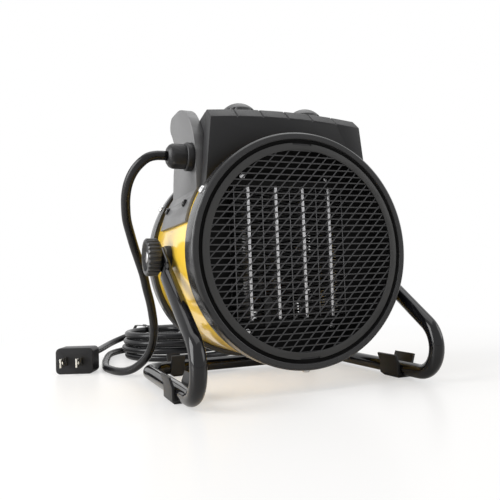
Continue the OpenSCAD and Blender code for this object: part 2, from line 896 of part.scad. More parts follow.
module along_arm() {
    translate([0, pivot_y, -pivot_drop]) rotate([90, 0, 90])
        rotate([0, 0, tangent_angle - 90]) children();
}

module stand_half() {
    difference() {
        stand_run(tube_r);
        stand_run(tube_r - tube_wall);
    }
    along_arm() arm_taper();
}

module stand_frame() {
    color(black) in_drum() mirrored() stand_half();
}

// A node of its own, so that the clamp knobs bear on a flat face in the simulation too
module arm_ends() {
    color(black) in_drum() mirrored() along_arm() arm_eye();
}

module clip_profile() {
    middle = clip_t + tube_r;
    shoulder = middle + 0.7 * tube_r;
    tip = 2 * middle + 4;
    difference() {
        polygon([
            [-clip_half_w + 2.5, 0], [clip_half_w - 2.5, 0], [clip_half_w, 2.5],
            [clip_half_w, shoulder], [clip_half_w + clip_lean, tip],
            [clip_half_w + 0.8, tip + 0.6], [clip_half_w - clip_t, shoulder + 1],
            [-clip_half_w + clip_t, shoulder + 1], [-clip_half_w - 0.8, tip + 0.6],
            [-clip_half_w - clip_lean, tip], [-clip_half_w, shoulder], [-clip_half_w, 2.5]
        ]);
        translate([0, middle]) circle(tube_r + run_fit);
        translate([-tube_r - run_fit, middle]) square([2 * (tube_r + run_fit), 2 * tube_r]);
    }
}

module clip(len) {
    nip = 3;
    intersection() {
        translate([0, len / 2, 0]) rotate([90, 0, 0]) linear_extrude(len) clip_profile();
        rotate([90, 0, 90]) linear_extrude(6 * tube_r, center = true) polygon([
            [-len / 2 + nip, 0], [len / 2 - nip, 0], [len / 2, nip], [len / 2, 6 * tube_r],
            [-len / 2, 6 * tube_r], [-len / 2, nip]
        ]);
    }
}

module foot_clips() {
    color(black) translate([0, ring_y, 0]) mirrored() {
        translate([tube_x, side_clip_y, 0]) clip(side_clip_len);
        translate([rear_clip_x, crossbar_y, 0]) rotate([0, 0, 90]) clip(rear_clip_len);
    }
}

// Pivots

module at_pivot() {
    in_drum() translate([0, pivot_y, -pivot_drop]) children();
}

module pivot_spacers() {
    color(black) mirrored() at_pivot() difference() {
        rod_x(spacer_r, drum_r - 4, drum_r + spacer_len);
        rod_x(bolt_r + hole_fit, 0, 2 * drum_r);
        translate([0, -pivot_y, pivot_drop]) rod_y(seat_r - seat_fit, -eps, drum_len);
    }
}

module pivot_washers() {
    color(dark) mirrored() at_pivot() difference() {
        rod_x(spacer_r - 1, drum_r + spacer_len, drum_r + spacer_len + washer_t);
        rod_x(bolt_r + hole_fit, 0, 2 * drum_r);
    }
}

module pivot_nuts() {
    seat_x = drum_in_r - 4;
    color(silver) mirrored() at_pivot() difference() {
        union() {
            intersection() {
                rod_x(11, seat_x, drum_r);
                translate([0, -pivot_y, pivot_drop]) rod_y(drum_in_r, 0, drum_len);
            }
            translate([seat_x - nut_t, 0, 0]) rotate([0, 90, 0])
                cylinder(r = nut_r, h = nut_t + 0.5, $fn = 6);
        }
        rod_x(bolt_r + run_fit, 0, 2 * drum_r);
    }
}

// A clamp knob with its back at z = 0 and its dished face outwards
module clamp_knob() {
    ridge_r = 1.5;
    body_r = knob_r - ridge_r;
    dish_r = body_r - 2.6;
    difference() {
        intersection() {
            linear_extrude(knob_t) difference() {
                union() {
                    circle(body_r);
                    for (i = [0 : knob_ridges - 1]) rotate(i * 360 / knob_ridges)
                        translate([body_r, 0]) circle(ridge_r, $fn = 32);
                }
                circle(bolt_r + run_fit);
            }
            rotate_extrude() polygon([
                [0, -eps], [knob_r - 3.5, -eps], [knob_r + 1, 3], [knob_r + 1, knob_t - 2.2],
                [knob_r - 2.2, knob_t + eps], [0, knob_t + eps]
            ]);
        }
        rotate_extrude() polygon([
            [0, knob_t - 3], [dish_r - 1, knob_t - 3], [dish_r, knob_t + eps], [0, knob_t + eps]
        ]);
    }
}

module clamp_bolt() {
    head_x = knob_x + knob_t - 3;
    rod_x(bolt_r, bolt_in_x, head_x + 0.5);
    translate([head_x, 0, 0]) rotate([0, 90, 0]) cylinder(r = 5, h = 2.2);
}

module at_knob() {
    at_pivot() translate([knob_x, 0, 0]) rotate([0, 90, 0]) children();
}

module right_clamp_knob() {
    color(black) at_knob() clamp_knob();
}

module left_clamp_knob() {
    color(black) mirror([1, 0, 0]) at_knob() clamp_knob();
}

module right_clamp_bolt() {
    color(silver) at_pivot() clamp_bolt();
}

module left_clamp_bolt() {
    color(silver) mirror([1, 0, 0]) at_pivot() clamp_bolt();
}

// Heating element

module baffle_plate() {
    half_w = element_half_w + 3;
    half_h = element_half_h + cap_t + 1;
    color(black) in_drum() difference() {
        rod_y(rim_out, ring_recess + seat_fit, baffle_y + baffle_t);
        rod_y(rim_out - 1, 0, baffle_y);
        translate([-half_w, 0, -half_h]) cube([2 * half_w, drum_len, 2 * half_h]);
        for (a = screw_angles) on_drum(a, front_screw_y, front_ring_r) screw_hole(12);
        for (x = [-tab_x, tab_x], side = [-1, 1])
            translate([x, 0, side * (element_half_h + cap_t + tab_h / 2)]) rod_y(1.5, 0, drum_len);
    }
}

module element_frame() {
    cap_w = element_half_w + 2;
    color(dark) in_drum() for (side = [0, 1]) mirror([0, 0, side])
        difference() {
            union() {
                translate([-cap_w, cap_y, element_half_h]) cube([2 * cap_w, cap_depth, cap_t]);
                translate([-cap_w + 6, baffle_y - tab_t, element_half_h + cap_t - eps])
                    cube([2 * cap_w - 12, tab_t, tab_h + eps]);
            }
            for (x = [-tab_x, tab_x]) translate([x, 0, element_half_h + cap_t + tab_h / 2])
                rod_y(1.5 + hole_fit, 0, drum_len);
        }
}

module element_screws() {
    color(silver) in_drum() for (x = [-tab_x, tab_x], side = [-1, 1])
        translate([x, 0, side * (element_half_h + cap_t + tab_h / 2)]) {
            rod_y(1.5, baffle_y - tab_t, baffle_y + 5);
            rod_y(2.8, baffle_y - tab_t - 1.8, baffle_y - tab_t);
        }
}

bar_pitch = 2 * element_half_w / bar_count;
divider_t = 1;

module heater_bars() {
    color(silver) in_drum() for (i = [0 : bar_count - 1])
        translate([-element_half_w + (i + 0.5) * bar_pitch - bar_w / 2, element_y, -element_half_h])
            cube([bar_w, element_depth, 2 * element_half_h]);
}

module element_dividers() {
    color(silver) in_drum() for (i = [0 : bar_count])
        translate([-element_half_w + i * bar_pitch - divider_t / 2, element_y, -element_half_h])
            cube([divider_t, element_depth, 2 * element_half_h]);
}

// One folded strip between a divider and a bar, w wide
module fin_strip(w) {
    folds = 2 * floor(element_half_h / fold_h);
    first = -folds * fold_h / 2;
    strip_w = 1.5;
    polygon(concat(
        [for (i = [0 : folds]) [i % 2 == 0 ? 0 : w - strip_w, first + i * fold_h]],
        [for (i = [folds : -1 : 0]) [i % 2 == 0 ? strip_w : w, first + i * fold_h]]
    ));
}

module heat_fins() {
    w = (bar_pitch - bar_w - divider_t) / 2;
    color(dark) in_drum() for (i = [0 : bar_count - 1], side = [0, 1])
        translate([-element_half_w + i * bar_pitch
            + (side == 0 ? divider_t / 2 : bar_pitch / 2 + bar_w / 2), 0, 0])
            plate(element_y + 0.5, element_depth - 1) fin_strip(w);
}

module thermal_cutout() {
    button_r = 4;
    at = [-bar_pitch, -42];
    color(silver) in_drum() {
        translate([at[0], 0, at[1]]) rod_y(button_r, cap_y - 3, element_y);
        translate([at[0] - 3, cap_y - 0.8, -element_half_h - cap_t])
            cube([6, 0.8, element_half_h + cap_t + at[1]]);
    }
}

// Motor and fan

module motor_stack() {
    top = 24;
    color(dark) in_drum() difference() {
        plate(motor_front, stack_t) difference() {
            translate([-stack_half_w, leg_low]) square([2 * stack_half_w, top - leg_low]);
            circle(rotor_r + air_gap);
            translate([-16, leg_top]) square([32, 10]);
        }
        for (x = [-stud_x, stud_x]) translate([x, 0, 0]) rod_y(stud_r + hole_fit, 0, drum_len);
    }
}

module motor_coil() {
    color(copper) in_drum() difference() {
        translate([-13, motor_front - 6, leg_low - 6])
            cube([26, stack_t + 12, leg_top - leg_low + 14]);
        translate([-stack_half_w, motor_front - hole_fit, leg_low - hole_fit])
            cube([2 * stack_half_w, stack_t + 2 * hole_fit, leg_top - leg_low + 2 * hole_fit]);
    }
}

module motor_bearing_brackets() {
    color(silver) in_drum() for (front = [0, 1]) {
        plate_y = front == 1 ? motor_front - bearing_gap - bearing_t : motor_back + bearing_gap;
        leg_y = front == 1 ? motor_front - bearing_gap : motor_back;
        difference() {
            union() {
                translate([-stud_x - 5, plate_y, -7]) cube([2 * stud_x + 10, bearing_t, 14]);
                for (x = [-stud_x, stud_x]) translate([x, 0, 0])
                    rod_y(stud_r + 2, leg_y, leg_y + bearing_gap);
                rod_y(6, leg_y, leg_y + bearing_gap);
            }
            rod_y(shaft_r + run_fit, 0, drum_len);
            for (x = [-stud_x, stud_x]) translate([x, 0, 0])
                rod_y(stud_r + hole_fit, 0, drum_len);
        }
    }
}

module motor_screws() {
    front = motor_front - bearing_gap - bearing_t;
    color(silver) in_drum() for (x = [-stud_x, stud_x]) translate([x, 0, 0]) {
        rod_y(stud_r, front, mount_y + mount_t + 4);
        rod_y(stud_r + 1.6, front - 2, front);
    }
}

module motor_mount() {
    arm_w = 16;
    foot_len = 12;
    color(dark) in_drum() difference() {
        union() {
            rod_y(stud_x + 7, mount_y, mount_y + mount_t);
            intersection() {
                rod_y(drum_in_r, mount_y, mount_y + foot_len);
                union() {
                    for (a = [45, 135]) rotate([0, a, 0])
                        translate([-arm_w / 2, mount_y, -drum_r]) cube([arm_w, mount_t, 2 * drum_r]);
                    difference() {
                        for (a = [45, 135]) rotate([0, a, 0]) translate([-arm_w / 2, mount_y, -drum_r])
                            cube([arm_w, foot_len, 2 * drum_r]);
                        rod_y(drum_in_r - mount_t, 0, drum_len);
                    }
                }
            }
        }
        rod_y(8, 0, drum_len);
        for (x = [-stud_x, stud_x]) translate([x, 0, 0]) rod_y(stud_r + hole_fit, 0, drum_len);
    }
}

module motor_rotor() {
    color(silver) in_drum() difference() {
        rod_y(rotor_r, motor_front, motor_back);
        rod_y(shaft_r, 0, drum_len);
    }
}

module fan_shaft() {
    color(silver) in_drum() rod_y(shaft_r, motor_front - shaft_ahead, fan_y + hub_len / 2 + 2);
}

module fan_wheel() {
    chord = 40;
    blade_t = 2;
    color(dark) in_drum() difference() {
        intersection() {
            rod_y(fan_r, fan_y - 20, fan_y + 20);
            union() {
                rod_y(hub_r, fan_y - hub_len / 2, fan_y + hub_len / 2);
                for (i = [0 : blade_count - 1]) translate([0, fan_y, 0])
                    rotate([0, i * 360 / blade_count, 0]) rotate([0, 0, blade_pitch])
                        translate([-chord / 2, -blade_t / 2, hub_r - 5])
                            cube([chord, blade_t, fan_r]);
            }
        }
        rod_y(shaft_r, 0, drum_len);
    }
}

// Cord

function tangent(p, i) = unit(p[min(i + 1, len(p) - 1)] - p[max(i - 1, 0)]);
function level(t, v) = unit(v - (v * t) * t);
function sides_up(p, i, v) =
    i == len(p) ? [] : let (n = level(tangent(p, i), v)) concat([n], sides_up(p, i + 1, n));

// A round tube swept along points, with flat ends square to its first and last steps
module tube(p, r, sides) {
    first = tangent(p, 0);
    n = sides_up(p, 0, abs(first[2]) > 0.9 ? [1, 0, 0] : [0, 0, 1]);
    last = (len(p) - 1) * sides;
    rings = [for (i = [0 : len(p) - 1], k = [0 : sides - 1])
        let (a = 360 * k / sides, b = cross(tangent(p, i), n[i]))
            p[i] + r * (cos(a) * n[i] + sin(a) * b)];
    walls = [for (i = [0 : len(p) - 2], k = [0 : sides - 1])
        let (a = i * sides + k, b = i * sides + (k + 1) % sides)
            each [[a, a + sides, b + sides], [a, b + sides, b]]];
    caps = [for (k = [1 : sides - 2])
        each [[0, k, k + 1], [last, last + k + 1, last + k]]];
    polyhedron(rings, concat(walls, caps));
}

coil_z = cord_r;
step = 360 / loop_steps;

// Radius and height along the first strand: in, out and in again over three layers
function lap(t) = t < turn_in ? t : t < 2 * turn_in ? 2 * turn_in - t : t - 2 * turn_in;
function first_r(t) = coil_r - coil_pitch * lap(t) / 360;
function first_z(t) = coil_z + coil_pitch * (smooth((t - turn_in + climb / 2) / climb)
    + smooth((t - 2 * turn_in + climb / 2) / climb));
function last_r(t) = coil_r - coil_pitch * t / 360;
top_z = coil_z + 3 * coil_pitch;

function on_coil(r, a, z) = [coil_at[0] + r * cos(a), coil_at[1] + r * sin(a), z];

// The fold inside the coil, where the cord turns back: two arcs of one radius
fold_a = coil_start - first_turns;
fold_b = coil_start - last_turn;
fold_span = turn_mod(fold_b - fold_a);
fold_ra = first_r(first_turns);
fold_rb = last_r(last_turn);
fold_k = -2 * cos(fold_span);
fold_p = (2 + fold_k) * (fold_ra + fold_rb);
fold_q = fold_ra * fold_ra + fold_rb * fold_rb + fold_k * fold_ra * fold_rb;
fold_r = (sqrt(fold_p * fold_p + 4 * (2 - fold_k) * fold_q) - fold_p) / (2 * (2 - fold_k));
fold_c1 = (fold_ra - fold_r) * heading(fold_a);
fold_c2 = (fold_rb - fold_r) * heading(fold_b);
fold_mid = atan2(fold_c2[1] - fold_c1[1], fold_c2[0] - fold_c1[0]);
sweep_1 = turn_mod(fold_a - fold_mid);
sweep_2 = turn_mod(fold_b - fold_mid - 180);
fold_steps_1 = ceil(sweep_1 / 20);
fold_steps_2 = ceil(sweep_2 / 20);

function fold_point(centre, a, s) = let (share = s / (sweep_1 + sweep_2))
    [coil_at[0] + centre[0] + fold_r * cos(a), coil_at[1] + centre[1] + fold_r * sin(a),
     coil_z + coil_pitch * (2 + smooth((share - 0.2) / 0.6))];

coil_points = concat(
    [for (t = [0 : step : first_turns]) on_coil(first_r(t), coil_start - t, first_z(t))],
    [for (i = [1 : fold_steps_1]) let (s = sweep_1 * i / fold_steps_1)
        fold_point(fold_c1, fold_a - s, s)],
    [for (i = [1 : fold_steps_2 - 1]) let (s = sweep_2 * i / fold_steps_2)
        fold_point(fold_c2, fold_mid + 180 + s, sweep_1 + s)],
    [for (t = [last_turn : -step : 0]) on_coil(last_r(t), coil_start - t, top_z)]
);

// The drop starts straight out of the gland, and both stretches meet the coil squarely
gland_at = [-gland_tip, ring_y + gland_y, axis_h + gland_z];
coil_in = on_coil(coil_r, coil_start, coil_z);
coil_out = on_coil(coil_r, coil_start, top_z);
along = [-sin(coil_start), cos(coil_start), 0];
plug_axis = [-sin(plug_turn), cos(plug_turn), 0];
relief_end = [plug_at[0], plug_at[1], plug_h / 2] + (plug_d + relief_len) * plug_axis;
drop_path = concat([gland_at, gland_at - [cord_d, 0, 0]], drop_points,
    [coil_in + cord_d * along, coil_in]);
lead_path = concat([coil_out, coil_out + cord_d * along], lead_points,
    [relief_end + cord_d * plug_axis, relief_end]);

function run(p) = len(p) < 2 ? 0 : [for (i = [1 : len(p) - 1]) norm(p[i] - p[i - 1])]
    * [for (i = [1 : len(p) - 1]) 1];
function least_gap(p, reach) = min([for (i = [0 : len(p) - 1 - reach])
    min([for (j = [i + reach : len(p) - 1]) norm(p[i] - p[j])])]) - cord_d;

union() {  // cord_coil
    echo(coil_gap = least_gap(coil_points, 5), fold_radius = fold_r);
    echo(drop = run(drop_path), coil = run(coil_points), lead = run(lead_path));
}

module cord_drop() {
    color(black) tube(drop_path, cord_r, 8);
}

module cord_coil() {
    color(black) tube(coil_points, cord_r, 6);
}

module cord_lead() {
    color(black) tube(lead_path, cord_r, 8);
}

// A thin strap over the stack where both ends leave it, open at the floor
module coil_tie() {
    strap_t = 1;
    room = 1;
    inner = coil_r - coil_pitch * turn_in / 360 - cord_r - room - strap_t;
    lead_bow = 5.3;
    outer = coil_r / cos(22) + lead_bow + cord_r + room + 2 * strap_t;
    top = top_z + cord_r + room + strap_t;
    color(dark) translate([coil_at[0], coil_at[1], 0]) rotate([0, 0, coil_start + 22])
        translate([0, 2.5, 0]) rotate([90, 0, 0]) {
            linear_extrude(5) difference() {
                polygon([[inner, 0.4], [inner, top - 3], [inner + 3, top], [outer - 4, top],
                    [outer, top - 5], [outer, 0.4]]);
                polygon([[inner + strap_t, 0], [inner + strap_t, top - 3.4],
                    [inner + 3.4, top - strap_t], [outer - 4.4, top - strap_t],
                    [outer - strap_t, top - 5.4], [outer - strap_t, 0]]);
            }
            translate([inner + 9, top - 0.5, 2.5]) rotate([0, 70, 0]) cylinder(r = 1.6, h = 9);
        }
}

module at_plug() {
    translate([plug_at[0], plug_at[1], 0]) rotate([0, 0, plug_turn]) children();
}

module plug_body() {
    color(black) at_plug() difference() {
        translate([0, plug_d, plug_h / 2]) rotate([90, 0, 0]) linear_extrude(plug_d) {
            square([plug_w - 2 * plug_round, plug_h], center = true);
            square([plug_w, plug_h - 2 * plug_round], center = true);
            for (x = [-1, 1], z = [-1, 1])
                translate([x * (plug_w / 2 - plug_round), z * (plug_h / 2 - plug_round)])
                    circle(plug_round);
        }
        for (side = [-1, 1])
            translate([side * blade_gap / 2 - blade_t / 2, -eps, (plug_h - blade_w) / 2])
                cube([blade_t, 6 + eps, blade_w]);
    }
}

module plug_relief() {
    tip_r = cord_r + 0.9;
    rib = relief_len / 5;
    color(black) at_plug() translate([0, plug_d, plug_h / 2]) difference() {
        rotate([-90, 0, 0]) rotate_extrude() polygon(concat(
            [[0, 0]],
            [for (i = [0 : 4]) let (r = relief_r + (tip_r - relief_r) * i / 4)
                each [[r, i * rib], [r, (i + 0.62) * rib], [r - 0.9, (i + 0.7) * rib],
                      [r - 0.9, (i + 0.95) * rib]]],
            [[0, 4.95 * rib]]
        ));
        rod_y(cord_r, 5, relief_len + eps);
    }
    color(black) at_plug() translate([0, plug_d, plug_h / 2]) rod_y(cord_r, 5, relief_len);
}

module plug_blades() {
    color(silver) at_plug() for (side = [-1, 1])
        translate([side * blade_gap / 2 - blade_t / 2, -blade_len, (plug_h - blade_w) / 2])
            difference() {
                cube([blade_t, blade_len + 6, blade_w]);
                translate([-eps, 4, blade_w / 2]) rotate([0, 90, 0])
                    cylinder(r = 1.5, h = blade_t + 2 * eps);
            }
}

stand_frame();
arm_ends();
foot_clips();
drum_shell();
front_ring();
grille_ring();
front_grille();
rear_ring();
rear_grille();
ring_screws();
front_hood();
control_panel();
box_rear_cover();
box_cover_screws();
left_bracket();
right_bracket();
bracket_screws();
carry_handle();
gland_body();
gland_nut();
gland_locknut();
thermostat_knob();
thermostat_spindle();
thermostat_body();
selector_knob();
selector_spindle();
selector_switch_body();
terminal_block();
tip_over_switch();
inner_wiring();
supply_cable_end();
pivot_spacers();
pivot_washers();
pivot_nuts();
left_clamp_knob();
left_clamp_bolt();
right_clamp_knob();
right_clamp_bolt();
baffle_plate();
element_frame();
heater_bars();
element_dividers();
heat_fins();
thermal_cutout();
element_screws();
fan_wheel();
fan_shaft();
motor_rotor();
motor_stack();
motor_coil();
motor_bearing_brackets();
motor_mount();
motor_screws();
cord_drop();
cord_coil();
cord_lead();
coil_tie();
plug_body();
plug_relief();
plug_blades();
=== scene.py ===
"""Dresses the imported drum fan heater: a yellow barrel in a bent tube stand, with its mains
cord coiled behind it. Metres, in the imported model's frame: the floor is z = 0 and the
front faces -Y. Route points and sizes that repeat the source's are written in millimetres
and scaled by MM."""
import json
import math

import bmesh
import bpy
import numpy as np
from mathutils import Euler, Matrix, Vector


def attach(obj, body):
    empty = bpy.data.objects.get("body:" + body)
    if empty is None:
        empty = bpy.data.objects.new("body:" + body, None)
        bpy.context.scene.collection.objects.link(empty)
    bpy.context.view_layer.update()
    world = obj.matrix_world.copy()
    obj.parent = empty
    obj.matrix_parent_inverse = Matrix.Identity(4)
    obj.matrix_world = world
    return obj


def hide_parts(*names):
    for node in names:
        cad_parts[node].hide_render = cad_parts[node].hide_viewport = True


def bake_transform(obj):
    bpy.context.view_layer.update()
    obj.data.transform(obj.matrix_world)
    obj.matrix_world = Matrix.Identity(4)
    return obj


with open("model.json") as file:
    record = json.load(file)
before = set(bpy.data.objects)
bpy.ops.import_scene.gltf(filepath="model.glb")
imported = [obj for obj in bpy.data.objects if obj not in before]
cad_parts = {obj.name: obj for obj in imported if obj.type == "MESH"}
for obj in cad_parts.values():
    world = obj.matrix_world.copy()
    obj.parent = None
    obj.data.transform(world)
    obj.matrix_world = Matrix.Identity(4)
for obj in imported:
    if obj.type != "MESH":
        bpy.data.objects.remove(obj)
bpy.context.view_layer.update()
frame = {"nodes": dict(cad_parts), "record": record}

MM = 0.001

# Places taken from the source, in millimetres
AXIS_H = 118.2
RING_Y = -64.65
DRUM_R = 97.0
DRUM_LEN = 148.0
DRUM_SHEET = 1.2
RING_RECESS = 5.0
ELEMENT_Y = 28.5
ELEMENT_HALF_W = 53.0
ELEMENT_BARS = 4
BAR_W, DIVIDER_W = 3.0, 1.0
BOX_HALF_W = 73.0
CROWN_RISE = 3.9
PANEL_START, PANEL_TOP, PANEL_SLOPE = 34.0, 127.5, 11.0
DIAL_X, DIAL_Y = 34.0, 59.5
HANDLE_Y, HANDLE_Z = 104.5, 122.0
FAN_Y = 112.0
CORD_D = 8.2
CORD_R = CORD_D / 2


def mm(x, y, z):
    return Vector((x, y, z)) * MM


def on_drum(x, y, z):
    """A point given from the front ring's face and the drum's axis."""
    return mm(x, y + RING_Y, z + AXIS_H)


# Camera and stage

camera = bpy.data.objects.new("camera", bpy.data.cameras.new("camera"))
bpy.context.scene.collection.objects.link(camera)
CAMERA_AT = (-0.22424, -0.48506, 0.09448)
CAMERA_UP, CAMERA_RIGHT, CAMERA_ROLL = 3.069, 22.406, 1.998
camera.location = CAMERA_AT
aim = Euler((math.radians(90 + CAMERA_UP), 0, -math.radians(CAMERA_RIGHT))).to_matrix()
camera.rotation_euler = (
    aim @ Matrix.Rotation(-math.radians(CAMERA_ROLL), 3, "Z")).to_euler()
camera.data.sensor_width = 36
camera.data.lens = 40.83
camera.data.shift_x = -0.0012
camera.data.clip_start = 0.01
bpy.context.scene.camera = camera
bpy.context.scene.view_settings.view_transform = "Standard"


def area_light(name, location, target, size, watts, size_y=None):
    """A soft lamp that faces target: square, or size by size_y."""
    data = bpy.data.lights.new(name, "AREA")
    data.energy = watts
    data.size = size
    if size_y:
        data.shape = "RECTANGLE"
        data.size_y = size_y
    lamp = bpy.data.objects.new(name, data)
    bpy.context.scene.collection.objects.link(lamp)
    lamp.location = location
    aim = Vector(target) - Vector(location)
    lamp.rotation_euler = aim.to_track_quat("-Z", "Y").to_euler()


area_light("left_softbox", (-1.5, 0.0, 0.7), (0, 0, 0.12), 1.0, 32.0, 1.3)
area_light("top_softbox", (0.2, 0.1, 1.7), (0, 0, 0.1), 1.6, 13.0)
area_light("right_softbox", (1.4, -0.6, 0.7), (0, 0, 0.1), 0.8, 5.0)


WORLD_LIGHT = 0.22


def build_world():
    """Even light from all round. The camera, gloss and clear things see plain white."""
    world = bpy.data.worlds.new("studio")
    bpy.context.scene.world = world
    world.use_nodes = True
    nodes, links = world.node_tree.nodes, world.node_tree.links
    nodes.clear()
    path = nodes.new("ShaderNodeLightPath")
    lit = nodes.new("ShaderNodeBackground")
    lit.inputs["Color"].default_value = (1, 1, 1, 1)
    lit.inputs["Strength"].default_value = WORLD_LIGHT
    seen = nodes.new("ShaderNodeBackground")
    seen.inputs["Color"].default_value = (1, 1, 1, 1)
    seen.inputs["Strength"].default_value = 1.0
    mix = nodes.new("ShaderNodeMixShader")
    out = nodes.new("ShaderNodeOutputWorld")
    shown = path.outputs["Is Camera Ray"]
    for kind in ("Is Glossy Ray", "Is Transmission Ray"):
        either = nodes.new("ShaderNodeMath")
        either.operation = "MAXIMUM"
        links.new(shown, either.inputs[0])
        links.new(path.outputs[kind], either.inputs[1])
        shown = either.outputs["Value"]
    links.new(shown, mix.inputs["Fac"])
    links.new(lit.outputs["Background"], mix.inputs[1])
    links.new(seen.outputs["Background"], mix.inputs[2])
    links.new(mix.outputs["Shader"], out.inputs["Surface"])


def build_floor():
    """A pale floor that fades into the white background with distance."""
    half, middle = 6.0, (-0.02, 0.07, 0)
    fade_from, fade_to, least_fade = 0.12, 0.62, 0.45
    mesh = bpy.data.meshes.new("floor")
    mesh.from_pydata(
        [(-half, -half, 0), (half, -half, 0), (half, half, 0), (-half, half, 0)],
        [], [(0, 1, 2, 3)])
    floor = bpy.data.objects.new("floor", mesh)
    bpy.context.scene.collection.objects.link(floor)
    mat = bpy.data.materials.new("floor_paper")
    mat.use_nodes = True
    nodes, links = mat.node_tree.nodes, mat.node_tree.links
    shader = nodes["Principled BSDF"]
    shader.inputs["Base Color"].default_value = (0.98, 0.96, 0.93, 1)
    shader.inputs["Roughness"].default_value = 0.3
    shader.inputs["Specular IOR Level"].default_value = 0.4
    coord = nodes.new("ShaderNodeTexCoord")
    centre = nodes.new("ShaderNodeVectorMath")
    centre.operation = "SUBTRACT"
    centre.inputs[1].default_value = middle
    links.new(coord.outputs["Object"], centre.inputs[0])
    length = nodes.new("ShaderNodeVectorMath")
    length.operation = "LENGTH"
    links.new(centre.outputs["Vector"], length.inputs[0])
    fade = nodes.new("ShaderNodeMapRange")
    fade.inputs["From Min"].default_value = fade_from
    fade.inputs["From Max"].default_value = fade_to
    fade.inputs["To Min"].default_value = least_fade
    links.new(length.outputs["Value"], fade.inputs["Value"])
    path = nodes.new("ShaderNodeLightPath")
    both = nodes.new("ShaderNodeMath")
    both.operation = "MULTIPLY"
    links.new(fade.outputs["Result"], both.inputs[0])
    links.new(path.outputs["Is Camera Ray"], both.inputs[1])
    white = nodes.new("ShaderNodeEmission")
    white.inputs["Strength"].default_value = 1.0
    mix = nodes.new("ShaderNodeMixShader")
    links.new(both.outputs["Value"], mix.inputs["Fac"])
    links.new(shader.outputs["BSDF"], mix.inputs[1])
    links.new(white.outputs["Emission"], mix.inputs[2])
    links.new(mix.outputs["Shader"], nodes["Material Output"].inputs["Surface"])
    mesh.materials.append(mat)


build_world()
build_floor()


# Materials

